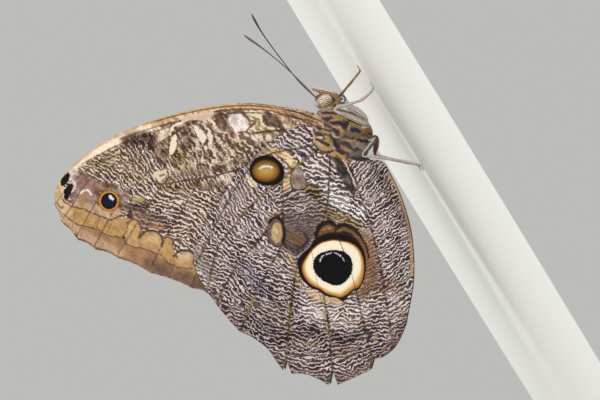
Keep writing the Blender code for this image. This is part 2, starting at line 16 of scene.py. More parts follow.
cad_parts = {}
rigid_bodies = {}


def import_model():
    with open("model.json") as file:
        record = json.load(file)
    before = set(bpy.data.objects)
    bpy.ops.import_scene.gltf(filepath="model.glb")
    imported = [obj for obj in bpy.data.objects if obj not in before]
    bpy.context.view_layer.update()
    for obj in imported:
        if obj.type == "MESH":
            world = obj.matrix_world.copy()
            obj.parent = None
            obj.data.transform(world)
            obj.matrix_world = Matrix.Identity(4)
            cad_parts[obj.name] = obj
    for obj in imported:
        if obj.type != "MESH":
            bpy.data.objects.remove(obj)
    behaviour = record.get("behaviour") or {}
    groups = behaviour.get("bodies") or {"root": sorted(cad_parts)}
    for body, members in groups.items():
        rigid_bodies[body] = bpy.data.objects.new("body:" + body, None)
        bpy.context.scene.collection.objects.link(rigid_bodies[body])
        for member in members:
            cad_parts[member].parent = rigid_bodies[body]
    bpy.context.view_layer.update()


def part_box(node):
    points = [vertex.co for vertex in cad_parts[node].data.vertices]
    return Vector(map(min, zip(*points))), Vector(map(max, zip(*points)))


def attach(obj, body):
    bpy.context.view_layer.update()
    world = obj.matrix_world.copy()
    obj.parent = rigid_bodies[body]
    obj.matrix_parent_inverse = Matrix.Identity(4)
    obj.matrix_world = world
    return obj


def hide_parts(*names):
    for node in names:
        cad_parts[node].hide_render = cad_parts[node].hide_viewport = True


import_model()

# %% [markdown]
# ## One origin for all the measures
# The wings and legs were measured from a point on the floor under the root of the wings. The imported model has
# its origin under the middle of its box instead. Both eyes are known in both, so they give the step between.

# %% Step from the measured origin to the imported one
EYE_CENTRE = np.array([4.9, 2.1, 13.3])
EYE_RADII = np.array([1.75, 1.5, 2.25])
RIGHT, LEFT = -1, 1


def middle_of(node):
    """Centre of a solid's box, in millimetres."""
    low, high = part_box(node)
    return np.array([(a + b) / 2.0 for a, b in zip(low, high)]) * 1000.0


def sided(label, side):
    """A name with its side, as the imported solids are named."""
    return label + ("_right" if side == RIGHT else "_left")


SHIFT = np.array([middle_of("eye_right")[0] - EYE_CENTRE[0],
                  (middle_of("eye_right")[1] + middle_of("eye_left")[1]) / 2.0, 0.0])
print("step to the packed origin, mm:", SHIFT.round(3))

# %% [markdown]
# ## Camera
# The picture was taken from the insect's right side with a long lens, and the insect hangs head up. Here it
# stands on a floor, so the camera is rolled instead. Its right hand side looks down and towards the tail.

# %% Picture points, millimetres and the camera
PICTURE_TURN = math.radians(31.5)
SIN, COS = math.sin(PICTURE_TURN), math.cos(PICTURE_TURN)
MM_PER_POINT = 0.275
ANCHOR = (375.0, 91.0)


def from_picture(points):
    """Places (x, z) in mm of picture points (across, down): a step from the anchor, turned and scaled."""
    across, down = np.moveaxis(np.asarray(points, dtype=float) - ANCHOR, -1, 0)
    return np.stack([-SIN * across - COS * down, -COS * across + SIN * down], axis=-1) * MM_PER_POINT


def add_camera():
    """A camera one metre off the right side, looking straight across, rolled as the picture is."""
    x, z = from_picture((300, 200))
    data = bpy.data.cameras.new("camera")
    data.sensor_width = 36.0
    data.lens = data.sensor_width * 1000.0 / (600 * MM_PER_POINT)
    data.clip_start, data.clip_end = 0.01, 10.0
    camera = bpy.data.objects.new("camera", data)
    matrix = np.eye(4)
    matrix[:3, 0], matrix[:3, 1], matrix[:3, 2] = (-SIN, 0, -COS), (COS, 0, -SIN), (0, -1, 0)
    matrix[:3, 3] = (np.array([x, -1002.0, z]) + SHIFT) * 0.001
    camera.matrix_world = Matrix(matrix.tolist())
    bpy.context.scene.collection.objects.link(camera)
    bpy.context.scene.camera = camera
    return camera


camera = add_camera()
print("camera at", [round(v, 3) for v in camera.location], "lens", round(camera.data.lens, 1))

# %% [markdown]
# ## Measures as plain text
# This model has hundreds of measured places. Written as plain text they stay short enough to read, and a few
# small functions turn the text into numbers.


# %% Readers for places, colour stops and tables
def numbers(text):
    """Places as tuples: the numbers of a place are split by spaces, and the places by commas."""
    return [tuple(float(n) for n in place.split()) for place in text.split(",")]


def stops(text):
    """Pairs of a place on a scale and a hex colour, split as places are."""
    return [(float(place), tint) for place, tint in (pair.split() for pair in text.split(","))]


def around(count):
    """Angles at even steps round a circle."""
    return np.linspace(0, 2 * np.pi, count, endpoint=False)


def oval(x, y, across, down):
    """Twenty-four picture points round an upright oval."""
    return np.column_stack([x + across * np.cos(around(24)), y + down * np.sin(around(24))])


def table(text):
    """Rows (name, places, and what follows the bar) from lines such as "name: 1 2, 3 4 | 5 a0b0c0".

    An indented line belongs to the row before it. Places may be "oval" and its four numbers. Behind the bar,
    a word of six letters or figures is a colour, and any other is a number.
    """
    rows = []
    for line in text.strip().replace("\n ", " ").splitlines():
        name, rest = line.split(": ")
        places, _, looks = rest.partition(" | ")
        shape = oval(*numbers(places[5:])[0]) if places.startswith("oval ") else numbers(places)
        rows.append((name, shape, *[w if len(w) == 6 and w.isalnum() else float(w) for w in looks.split()]))
    return rows


print("one row:", table("a dot: 1 2, 3 4 | 5 a0b0c0"))

# %% [markdown]
# ## Writing a mesh
# Every piece below is worked out as arrays. One function turns arrays of points and faces into an object in
# its final place, with its bake map and the values that its material reads.


# %% From arrays to an object
def piece(name, points, face_sets, material, uv, replaces=(), values=None):
    """An object from points (mm) and arrays of faces; each array has faces of one size.

    uv has one place for each point. values maps a name to one number, three or four numbers for each point.
    """
    mesh = bpy.data.meshes.new(name)
    place = ((np.asarray(points) + SHIFT) * 0.001).astype(np.float32)
    loops = np.concatenate([np.asarray(f).ravel() for f in face_sets]).astype(np.int32)
    sizes = np.concatenate([np.full(len(f), np.asarray(f).shape[1]) for f in face_sets])
    mesh.vertices.add(len(place))
    mesh.vertices.foreach_set("co", place.ravel())
    mesh.loops.add(len(loops))
    mesh.loops.foreach_set("vertex_index", loops)
    mesh.polygons.add(len(sizes))
    mesh.polygons.foreach_set("loop_start", np.concatenate([[0], np.cumsum(sizes)[:-1]]).astype(np.int32))
    mesh.update(calc_edges=True)
    mesh.polygons.foreach_set("use_smooth", np.ones(len(sizes), dtype=bool))
    layer = mesh.uv_layers.new(name="OFBake")
    layer.data.foreach_set("uv", np.asarray(uv, dtype=np.float32)[loops].ravel())
    kinds = {1: ("FLOAT", "value"), 3: ("FLOAT_VECTOR", "vector"), 4: ("FLOAT_COLOR", "color")}
    for key, column in (values or {}).items():
        column = np.asarray(column, dtype=np.float32)
        kind, field = kinds[1 if column.ndim == 1 else column.shape[1]]
        mesh.attributes.new(key, kind, "POINT").data.foreach_set(field, column.ravel())
    mesh.materials.append(material)
    obj = bpy.data.objects.new(name, mesh)
    bpy.context.scene.collection.objects.link(obj)
    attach(obj, "root")
    if replaces:
        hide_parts(*replaces)
    print(name, len(place), "points,", int((sizes - 2).sum()), "triangles")
    return obj


def grid_faces(rows, columns, wrap=False):
    """Quads of a grid of points stored row by row; wrap closes each row into a ring."""
    i = np.arange(rows - 1)[:, None]
    k = np.arange(columns if wrap else columns - 1)[None, :]
    a, b = i * columns + k, i * columns + (k + 1) % columns
    return np.stack([a, b, b + columns, a + columns], axis=-1).reshape(-1, 4)


def closed_faces(rows, columns):
    """Quads of a wrapped grid, and fans that close both ends to two points stored after the grid."""
    k, last, tip = np.arange(columns), (rows - 1) * columns, np.full(columns, rows * columns)
    after = (k + 1) % columns
    fans = [np.stack(fan, axis=-1) for fan in ((tip, after, k), (tip + 1, last + k, last + after))]
    return [grid_faces(rows, columns, wrap=True), np.vstack(fans)]


def volume_sign(points, face_sets):
    """Plus one where the faces of a closed mesh point outwards, minus one where they point in."""
    total = 0.0
    for faces in face_sets:
        corners = np.asarray(points)[np.asarray(faces)]
        for k in range(1, corners.shape[1] - 1):
            total += np.einsum("ij,ij->", corners[:, 0], np.cross(corners[:, k], corners[:, k + 1]))
    return 1 if total > 0 else -1


def facing_out(points, face_sets):
    """The same faces, turned round if they point into the closed mesh."""
    if volume_sign(points, face_sets) > 0:
        return list(face_sets)
    return [np.asarray(faces)[:, ::-1] for faces in face_sets]


def unit(vectors):
    """The same directions, each with a length of one."""
    return vectors / np.maximum(np.linalg.norm(vectors, axis=-1, keepdims=True), 1e-9)


def smooth01(t):
    """Zero below 0, one above 1, with a soft start and end: 3tt - 2ttt."""
    t = np.clip(t, 0.0, 1.0)
    return t * t * (3.0 - 2.0 * t)


def sampled(rows, at, places=None):
    """Rows between the rows of a table: at counts rows, or runs on the scale that places gives them."""
    places = np.arange(len(rows)) if places is None else places
    return np.column_stack([np.interp(at, places, column) for column in rows.T])


def smooth_path(points, per_span=8):
    """A curve through all the points: each span is a cubic whose end slopes follow its neighbours."""
    p = np.asarray(points, dtype=float)
    before = np.vstack([2 * p[0] - p[1], p[:-1]])
    after = np.vstack([p[1:], 2 * p[-1] - p[-2]])
    slope = (after - before) / 2.0
    t = np.linspace(0.0, 1.0, per_span, endpoint=False)[None, :, None]
    a, b, m, n = p[:-1, None], p[1:, None], slope[:-1, None], slope[1:, None]
    spans = ((2 * t**3 - 3 * t**2 + 1) * a + (t**3 - 2 * t**2 + t) * m + (3 * t**2 - 2 * t**3) * b
             + (t**3 - t**2) * n)
    return np.vstack([spans.reshape(-1, p.shape[1]), p[-1:]])


def evenly(path, count):
    """count points at even steps along a path."""
    length = np.concatenate([[0.0], np.cumsum(np.linalg.norm(np.diff(path, axis=0), axis=1))])
    return sampled(path, np.linspace(0.0, length[-1], count), length)


# %% [markdown]
# ## The shape of a wing
# A wing is a flat patch between four edges: the short root edge, the stiff leading edge, the wavy outer
# margin and the inner edge. It could be cut from a plate, but then no direction on it would mean anything.
# Blending the four edges (a Coons patch) gives rows that fan out from the root as the veins do, and corners
# that stay exactly where they were measured.

# %% Measured edges and veins of both wings, in mm
FORE_COSTA = numbers("""
    -1 15.6, 2.2 16.6, 4.6 18.4, 9.2 23.4, 14.4 29.9, 19.1 38.3, 23 48.8, 25.8 60, 27.1 70.5, 26.3 80.5,
    23.4 88.2, 19.5 91.4""")
FORE_VEIN_ENDS = numbers("""
    19.5 91.4, 14.6 92.2, 8.7 91.1, 3.8 88.3, -1.6 84.2, -9.7 78.9, -19.5 71.3, -23.4 68.2""")
FORE_INNER = numbers("-5 16, -6.6 19.5, -8.6 25, -12.6 38, -17.4 53, -23.4 68.2")
FORE_ROOT = numbers("-1 15.6, -5 16")
FORE_VEINS = dict(table("""
subcosta: 2.2 18.2, 7.6 22.7, 13.8 30.2, 18.5 38.6, 22.5 49.1, 25 57.9
radius: 0.8 18, 6.8 24.2, 12.1 31.2, 16 38.2, 18.6 45.4, 18.9 52.9
radius 1: 16 38.2, 20.8 49, 23.7 58.9, 25.3 66.8
radius 2: 18.6 45.4, 21.6 55.3, 24.2 67.4, 25 79.1
radius 3 and 4: 18.8 60.1, 21.9 69.6, 23 78.2, 21.7 84.8, 19.5 91.4
radius 5: 18.3 65.2, 20.4 74.2, 19.6 81.7, 16.6 87.5, 14.6 92.2
media 1: 18.9 52.9, 18.8 60.1, 18.3 65.2, 17 72.5, 14.6 80, 8.7 91.1
media 2: 15.9 57, 13.8 64.1, 12 71.7, 9.2 79, 3.8 88.3
media 3: 8.7 63.1, 6.1 68.9, 3.1 75, -1.6 84.2
cubitus 1: 4.7 53.5, 0.6 60.9, -4 69.5, -9.7 78.9
cubitus 2: 0.9 43, -4.5 51.6, -12.5 61.8, -19.5 71.3
cubitus: -2.7 19.3, -2.1 28.7, -1.1 36.1, 0.9 43, 4.7 53.5, 8.7 63.1
anal: -4.8 19.6, -7.2 35.1, -12.7 49.7, -22 66.3
cell end: 18.9 52.9, 15.9 57, 12.3 60.5, 8.7 63.1
"""))
HIND_COSTA = numbers("""
    -3 16.6, -0.8 18.9, 1.2 20.9, 2.7 23.8, 3.3 28, 2.6 34.8, 0.3 44.7, -2.9 51.1, -6.4 58.4, -10.2 64,
    -15.2 67.4, -22.8 68.1, -27.2 67.8""")
HIND_LOBES = [numbers(stretch) for stretch in """
    -27.2 67.8, -32.4 67.1, -37 66.2 /
    -37 66.2, -39.4 64.4, -42 63.2, -44.3 62.3, -46.4 62, -48.8 61.9, -52.1 61.6 /
    -52.1 61.6, -49.9 59.3 /
    -49.9 59.3, -54.1 60.1 /
    -54.1 60.1, -56 57.2, -59.2 54.6, -62.1 53.1 /
    -62.1 53.1, -58.8 49.9 /
    -58.8 49.9, -63.4 50.9 /
    -63.4 50.9, -64 46.2, -64.6 41.2 /
    -64.6 41.2, -62.4 38.7 /
    -62.4 38.7, -63.4 36.2, -63 32.8, -61.4 29.6, -58.9 26.2""".split("/")]
HIND_INNER = numbers("-15.1 13, -16.2 10, -18.2 8.4, -21.4 8.3, -29 9.2, -39.1 12.2, -49.8 18.2, -58.9 26.2")
HIND_ROOT = numbers("-3 16.6, -8 15.8, -12.5 15.6, -15.1 13")
HIND_VEINS = dict(table("""
subcosta: -3.9 19.6, -3.1 24.5, -1.3 28.9, 0.4 34.3, 0.1 39.6, -2.1 45.5, -6.4 53.3, -10.9 60.6, -15.2 67.4
radius: -5.4 21, -6.5 30.4, -7.7 38.6, -9.2 46, -11.6 53.2, -14.8 60.1, -22.8 68.1
media 1: -7 34.4, -14.5 38.9, -17.2 45.1, -19.3 52.2, -22.3 60, -27.2 67.8
media 2: -14.5 38.9, -21.9 42.7, -26.6 50.8, -31 57.8, -37 66.2
media 3: -27.5 37.2, -28.6 42.1, -33.8 46.9, -41 52.6, -49.9 59.3
cubitus 1: -27.5 37.2, -37.7 40.5, -47 44, -58.8 49.9
cubitus: -8.7 19.8, -14.3 23.6, -21.3 28.9, -27.5 37.2
cubitus 2: -21.3 28.9, -29.6 30.1, -38.4 31.6, -48 34.4, -62.1 39.2
anal 2: -12.4 18.4, -18.8 18.2, -25.4 19, -33.5 21.2, -44.1 24.8, -63 32.8
cell end: -28.6 42.1, -21.9 42.7
"""))
print(len(FORE_VEINS), "forewing veins,", len(HIND_VEINS), "hindwing veins")


# %% Blend four edges into one patch
def outer_edge(stretches, columns):
    """columns + 1 points along stretches that meet at corners, with every corner kept."""
    paths = [smooth_path(s) if len(s) > 2 else np.asarray(s, dtype=float) for s in stretches]
    lengths = np.array([np.linalg.norm(np.diff(p, axis=0), axis=1).sum() for p in paths])
    ends = np.round(np.cumsum(lengths) / lengths.sum() * columns).astype(int)
    shares = np.maximum(1, np.diff(np.concatenate([[0], ends])))
    shares[np.argmax(shares)] += columns - shares.sum()
    return np.vstack([evenly(p, n + 1)[:-1] for p, n in zip(paths, shares)] + [paths[-1][-1:]])


def scallops(ends, sag):
    """Spans between vein ends that swell outwards like shallow arches."""
    out = []
    t = np.linspace(0.0, 1.0, 9)[:, None]
    for a, b in zip(np.array(ends), np.array(ends)[1:]):
        outward = np.array([-(b - a)[1], (b - a)[0]]) / np.linalg.norm(b - a)
        out.append(a + (b - a) * t + outward * sag * np.sin(np.pi * t))
    return out


def wing_patch(root, costa, outer, inner, rows, columns):
    """Plan points P(u, v), with u from the root to the margin and v from the leading to the inner edge.

    P = (1-v) costa(u) + v inner(u) + (1-u) root(v) + u outer(v) - the same blend of the four corners.
    """
    u = np.linspace(0.0, 1.0, rows)[:, None, None]
    v = np.linspace(0.0, 1.0, columns)[None, :, None]
    lead, trail = evenly(smooth_path(costa), rows)[:, None], evenly(smooth_path(inner), rows)[:, None]
    start = evenly(smooth_path(root), columns)[None]
    end = outer_edge(outer, columns - 1)[None]
    corners = ((1 - u) * (1 - v) * lead[0, 0] + (1 - u) * v * trail[0, 0] + u * (1 - v) * lead[-1, 0]
               + u * v * trail[-1, 0])
    return (1 - v) * lead + v * trail + (1 - u) * start + u * end - corners


FORE_PLAN = wing_patch(FORE_ROOT, FORE_COSTA, scallops(FORE_VEIN_ENDS, 0.45), FORE_INNER, 361, 201)
HIND_PLAN = wing_patch(HIND_ROOT, HIND_COSTA, HIND_LOBES, HIND_INNER, 341, 221)


def smallest_turn(plan):
    """The smallest signed area of a patch's quads beside the mean one; below zero, a quad folds over."""
    du, dv = np.diff(plan, axis=0)[:, :-1], np.diff(plan, axis=1)[:-1]
    area = du[..., 0] * dv[..., 1] - du[..., 1] * dv[..., 0]
    return float((area * np.sign(np.median(area))).min()), float(np.abs(area).mean())


print("smallest and mean quad area:", smallest_turn(FORE_PLAN), smallest_turn(HIND_PLAN))

# %% [markdown]
# ## How the closed wings stand
# Closed wings aren't flat plates. Each one bends a little outwards towards its tip, the hindwing lies over
# the forewing, and its inner part swells round the abdomen and folds in beneath it.

# %% Distance of each wing from the middle plane
FORE_Y, HIND_Y, WING_ROOT, WING_REACH, WING_OPENING = 0.75, 1.95, (-3.0, 18.0), 75.0, 1.6
FOLDED_Y = 0.65                # the hindwing's inner edge, folded in under the abdomen
LEFT_TURN = math.radians(0.6)
LOBE_CENTRE, LOBE_HALF, LOBE_RISE = (-4.2, 19.2), (1.9, 2.3), 1.05


def opening(x, z):
    """1.6 mm times the square of the way from the root, as a share of the wing's reach."""
    return WING_OPENING * ((x - WING_ROOT[0])**2 + (z - WING_ROOT[1])**2) / WING_REACH**2


def root_flare(z):
    """Wings part near the body, down to their roots on the sides of the thorax."""
    return 1.6 * smooth01((27.0 - z) / 8.5)


def fore_lift(x, z):
    """Forewing: a set distance, the flare at the root and the opening towards the tip."""
    return FORE_Y + root_flare(z) + opening(x, z)


def hind_lift(x, z):
    """Hindwing: as the forewing, further out, with a swelling beside the abdomen that closes under it."""
    level = z - (13.2 - 0.054 * (x + 14.0))
    beside = smooth01((x + 42.0) / 12.0)
    over = 1.0 - smooth01((level - 0.5) / 7.5)
    under = smooth01((level + 4.4) / 3.4)
    swell = np.maximum(1.35 * over * beside, root_flare(z) * smooth01((x + 20.0) / 8.0))
    return FOLDED_Y + (HIND_Y - FOLDED_Y + swell) * under + opening(x, z)


def lobe_rise(x, z):
    """The raised oval at the hindwing's root: half an ellipsoid standing on the wing."""
    r = ((x - LOBE_CENTRE[0]) / LOBE_HALF[0])**2 + ((z - LOBE_CENTRE[1]) / LOBE_HALF[1])**2
    return LOBE_RISE * np.sqrt(np.clip(1.0 - r, 0.0, 1.0))


def standing(plan, lift, side):
    """Places in the room of plan points: the left wings sit a little lower, then each bends by its lift."""
    x, z = plan[..., 0], plan[..., 1]
    if side == LEFT:
        dx, dz = x - WING_ROOT[0], z - WING_ROOT[1]
        x = WING_ROOT[0] + dx * math.cos(LEFT_TURN) - dz * math.sin(LEFT_TURN)
        z = WING_ROOT[1] + dx * math.sin(LEFT_TURN) + dz * math.cos(LEFT_TURN)
    return np.stack([x, side * lift(x, z), z], axis=-1)


def rim_order(rows, columns):
    """Numbers of the points round the edge of a grid, in order."""
    top = np.arange(columns)
    right = np.arange(1, rows) * columns + columns - 1
    bottom = (rows - 1) * columns + np.arange(columns - 2, -1, -1)
    left = np.arange(rows - 2, 0, -1) * columns
    return np.concatenate([top, right, bottom, left])


def wing_shell(plan, lift, side, raised=None):
    """Two faces 0.32 mm apart, thinning to 0.12 mm at the edge, joined by a rim all round.

    The hidden inner face has every second row and column. For each of its edges the rim has three triangles.
    """
    rows, columns = plan.shape[:2]
    middle = standing(plan, lift, side)
    i, k = np.arange(rows)[:, None], np.arange(columns)[None, :]
    steps = np.minimum(np.minimum(i, rows - 1 - i), np.minimum(k, columns - 1 - k))
    half = 0.06 + 0.10 * smooth01(steps / 5.0)
    outer, inner = middle.copy(), middle[::2, ::2].copy()
    outer[..., 1] += side * (half + (raised(plan[..., 0], plan[..., 1]) if raised else 0.0))
    inner[..., 1] -= side * half[::2, ::2]
    count = rows * columns
    fine, coarse = rim_order(rows, columns), rim_order(*inner.shape[:2]) + count
    a, b, c = fine[::2], fine[1::2], np.roll(fine[::2], -1)
    d, e = coarse, np.roll(coarse, -1)
    rim = np.vstack([np.stack(corners, axis=-1) for corners in ((a, d, b), (b, d, e), (b, e, c))])
    quads = np.vstack([grid_faces(rows, columns), grid_faces(*inner.shape[:2])[:, ::-1] + count])
    points = np.vstack([outer.reshape(-1, 3), inner.reshape(-1, 3)])
    u, v = np.meshgrid(np.linspace(0, 1, rows), np.linspace(0, 1, columns), indexing="ij")
    halves = [np.column_stack([u[::step, ::step].ravel() * 0.98 + 0.01, v[::step, ::step].ravel() * 0.48 + low])
              for step, low in ((1, 0.01), (2, 0.51))]
    return points, facing_out(points, [quads, rim]), np.vstack(halves)


print("wing tip stands", round(float(fore_lift(np.array(14.6), np.array(92.2))), 2), "mm from the middle")

# %% [markdown]
# ## Tubes along a route
# Veins, legs, feelers and the tongue are all a round section carried along a path. The section's frame is
# turned as little as possible from one step to the next, so that stripes along it don't spiral.


# %% Carry a ring of points along a path
def frames(path):
    """Unit tangent and two normals at each point; a normal is the one before, made square to the tangent."""
    tangent = unit(np.gradient(path, axis=0))
    first = np.cross(tangent[0], (0.0, 1.0, 0.0))
    if np.linalg.norm(first) < 0.1:
        first = np.cross(tangent[0], (1.0, 0.0, 0.0))
    normals = [unit(first)]
    for t in tangent[1:]:
        normals.append(unit(normals[-1] - t * np.dot(normals[-1], t)))
    normal = np.array(normals)
    return tangent, normal, np.cross(tangent, normal)


def tube(path, radius, sides):
    """Points path + radius (cos a N + sin a B), with both ends closed to a point.

    Returns the points, the faces, the share of the way along and the angle of every point.
    """
    _, normal, side = frames(path)
    a = around(sides)
    r = np.broadcast_to(np.asarray(radius, dtype=float), (len(path),))[:, None, None]
    ring = np.cos(a)[None, :, None] * normal[:, None] + np.sin(a)[None, :, None] * side[:, None]
    points = np.vstack([(path[:, None] + r * ring).reshape(-1, 3), path[:1], path[-1:]])
    way = np.concatenate([np.repeat(np.linspace(0, 1, len(path)), sides), [0.0, 1.0]])
    angle = np.concatenate([np.tile(a, len(path)), [0.0, 0.0]])
    return points, facing_out(points, closed_faces(len(path), sides)), way, angle


def joined(parts):
    """One set of points, quads, triangles and columns from several (points, [quads, triangles], ...)."""
    shift, quads, triangles = 0, [], []
    for part in parts:
        quads.append(np.asarray(part[1][0]) + shift)
        triangles.append(np.asarray(part[1][1]) + shift)
        shift += len(part[0])
    columns = [np.concatenate([part[i] for part in parts]) for i in range(2, len(parts[0]))]
    return (np.vstack([part[0] for part in parts]), [np.vstack(quads), np.vstack(triangles)], *columns)


# %% [markdown]
# ## Colours and nodes
# Colours are written as the six figures that a painter's program shows. A renderer adds light, so it needs
# linear numbers. One more function adds a shader node with its settings and what is plugged into it. Most
# nodes here are of a few kinds, so each of those gets a short word.


# %% Colours, one function for a node, and short words for the common nodes
def colour(text):
    """An sRGB hex colour as linear red, green, blue and 1."""
    parts = [int(text[i:i + 2], 16) / 255.0 for i in (0, 2, 4)]
    return tuple(c / 12.92 if c <= 0.04045 else ((c + 0.055) / 1.055)**2.4 for c in parts) + (1.0,)


def toward(tone, tint, amount):
    """Colours moved towards a hex colour or other colours by an amount for each of them."""
    aim = np.array(colour(tint)) if isinstance(tint, str) else tint
    return tone + amount[:, None] * (aim - tone)


def flat_tone(tint, count):
    """One hex colour for each of so many points."""
    return np.tile(colour(tint), (count, 1))


def node(material, kind, inputs=None, **settings):
    """Adds one node; inputs maps a socket's name or number to a value or to the socket that feeds it."""
    made = material.node_tree.nodes.new("ShaderNode" + kind)
    for key, value in settings.items():
        setattr(made, key, value)
    for key, value in (inputs or {}).items():
        if isinstance(value, bpy.types.NodeSocket):
            material.node_tree.links.new(value, made.inputs[key])
        else:
            made.inputs[key].default_value = value
    return made


class Recipe:
    """A new material and the words for its recipe. Each word adds a node and gives back its output."""

    def __init__(self, name):
        self.material = bpy.data.materials.new(name)
        self.material.use_nodes = True
        self.shader = self.material.node_tree.nodes["Principled BSDF"]

    def read(self, name, output="Fac"):
        """A value that the mesh carries for each of its points."""
        return node(self.material, "Attribute", attribute_name=name).outputs[output]

    def maths(self, operation, *terms):
        """One step of arithmetic."""
        return node(self.material, "Math", dict(enumerate(terms)), operation=operation).outputs[0]

    def vector(self, operation, *terms, output=0):
        """One step of arithmetic on places or colours."""
        return node(self.material, "VectorMath", dict(enumerate(terms)), operation=operation).outputs[output]

    def noise(self, place, scale, detail, roughness=0.5, output="Fac"):
        """Soft random clouds."""
        return node(self.material, "TexNoise", {"Vector": place, "Scale": scale, "Detail": detail,
                                                "Roughness": roughness}).outputs[output]

    def ranged(self, value, low, high, to_low=0.0, to_high=1.0, kind="LINEAR"):
        """The value's way from low to high carried over to another range, and held at its ends."""
        limits = {"Value": value, "From Min": low, "From Max": high, "To Min": to_low, "To Max": to_high}
        return node(self.material, "MapRange", limits, interpolation_type=kind).outputs["Result"]

    def mix(self, share, first, second, **settings):
        """Two colours in one."""
        made = node(self.material, "Mix", {0: share, 6: first, 7: second}, data_type="RGBA", **settings)
        return made.outputs[2]

    def finish(self, tone, relief=None, strength=0.0, depth=0.0, **looks):
        """Plugs in the colour and the relief (its depth in metres), and sets the shader's other inputs."""
        plug = self.material.node_tree.links.new
        plug(tone, self.shader.inputs["Base Color"])
        if relief is not None:
            bump = node(self.material, "Bump", {"Height": relief, "Strength": strength, "Distance": depth})
            plug(bump.outputs["Normal"], self.shader.inputs["Normal"])
        for name, value in looks.items():
            self.shader.inputs[name.replace("_", " ")].default_value = value
        return self.material


CHITIN_IOR = 1.56
print("mid grey as the renderer sees it:", [round(c, 3) for c in colour("808080")])

# %% [markdown]
# ## How a wing is painted
# A butterfly's wing is covered in dust-fine scales, and each scale has one colour. The owl butterfly's
# underside is a ripple of pale and dark lines with washes, blots and eyespots over it. An image would blur
# when enlarged, so the paint is a recipe: smooth values for each point of the wing, and a shader that turns
# them into crisp lines. The values are two colours, the width of the pale lines, their direction and spacing,
# then one blot's colour with the distance inside its edge, and how deep a point lies in an eyespot.


# %% Distances that the paint is made from
def line_distance(plan, path):
    """Distance in mm from each plan point to the nearest point of a line of places."""
    a, b = path[:-1][None], path[1:][None]
    p = plan[:, None]
    along = b - a
    t = np.clip(((p - a) * along).sum(-1) / np.maximum((along**2).sum(-1), 1e-12), 0.0, 1.0)
    return np.sqrt((((p - a) - t[..., None] * along)**2).sum(-1).min(axis=1))


def surrounded(plan, ring):
    """True for each point inside a closed line: a ray from it crosses the line an odd number of times."""
    x, z = plan[:, :1], plan[:, 1:]
    ax, az = ring[:-1, 0], ring[:-1, 1]
    bx, bz = ring[1:, 0], ring[1:, 1]
    spans = (az > z) != (bz > z)
    crossing = ax + (z - az) * (bx - ax) / np.where(bz == az, 1e-9, bz - az)
    return (np.sum(spans & (x < crossing), axis=1) % 2) == 1


def closed_line(points):
    """A smooth closed line of places through picture points."""
    p = np.asarray(points, dtype=float)
    path = smooth_path(np.vstack([p[-2:], p, p[:2]]), 5)
    return from_picture(path[10:-5])


FAR = 3.0                      # mm; points further outside a shape than this aren't measured


def depth(plan, points, width):
    """How far inside a shape each point lies, in mm: an area if width is 0, otherwise a line that wide."""
    p = np.asarray(points, dtype=float)
    if width == 0:
        path = closed_line(p)
    else:
        path = from_picture(smooth_path(p, 4) if len(p) > 2 else p)
        path = np.vstack([path, path[-1:] + 0.001])
    half = 0.5 * width * MM_PER_POINT
    near = np.all((plan > path.min(axis=0) - half - FAR) & (plan < path.max(axis=0) + half + FAR), axis=1)
    inside = np.full(len(plan), -FAR)
    away = line_distance(plan[near], path)
    inside[near] = np.where(surrounded(plan[near], path), away, -away) if width == 0 else half - away
    return inside


def ripple_field(plan, comb):
    """Direction (radians) and spacing (mm) of the ripple, blended from listed strokes by nearness.

    A stroke is (across, down, slope in degrees, spacing in picture points). Slopes are blended as doubled
    angles, because a line has no front end, with the weight 1 / (distance squared + 16)^2.
    """
    strokes = np.asarray(comb, dtype=float)
    places = from_picture(strokes[:, :2])
    apart = ((plan[:, None] - places[None])**2).sum(-1) / MM_PER_POINT**2
    weight = 1.0 / (apart + 16.0)**2
    doubled = np.radians(2.0 * strokes[:, 2])
    turn = 0.5 * np.arctan2(weight @ np.sin(doubled), weight @ np.cos(doubled))
    spacing = (weight @ strokes[:, 3]) / weight.sum(1) * MM_PER_POINT
    return turn - PICTURE_TURN, spacing


def drift(plan, size, seed):
    """A smooth random number of about -1 to 1 for each point, from five turned waves about size mm long."""
    draw = np.random.default_rng(seed)
    total = np.zeros(len(plan))
    for _ in range(5):
        a, phase = draw.uniform(0, 2 * np.pi, 2)
        k = 2 * np.pi / size * draw.uniform(0.6, 1.5)
        total += np.sin(k * (plan[:, 0] * math.cos(a) + plan[:, 1] * math.sin(a)) + phase)
    return total / 2.6


def wobbled(plan, sizes, seed, amount):
    """Plan points moved a little, so that no listed edge stays quite smooth."""
    return plan + np.column_stack([drift(plan, size, seed + k) for k, size in enumerate(sizes)]) * amount


def level_of(plan, outlines):
    """Depth in an eyespot: below 0 outside, then from k to k + 1 between nested outlines k and k + 1."""
    depths = [depth(plan, outline, 0) for outline in outlines]
    level = np.minimum(depths[0], 0.0)
    for k, (outside, inner) in enumerate(zip(depths, depths[1:] + [None])):
        if inner is None:
            share = outside / max(outside.max(), 0.1)
        else:
            share = np.where(inner > 0, 1.0, outside / np.maximum(outside - inner, 1e-6))
        level = np.where(outside > 0, k + np.clip(share, 0.0, 1.0), level)
    return level


print("from a place to a line:", line_distance(np.array([[0.0, 1.0]]), np.array([[0.0, 0.0], [1.0, 0.0]])))

# %% [markdown]
# ## Mixing the paint
# The washes come first, one over the other, each with a soft edge. The blots and lines come next with crisp
# edges, then the nested outlines of the eyespots, and the glints last. A sign painter works in this order.


# %% From lists of washes, blots and eyespots to values for each point
RIPPLE_CELL = 3.2              # mm over which the ripple keeps its beat before it forks


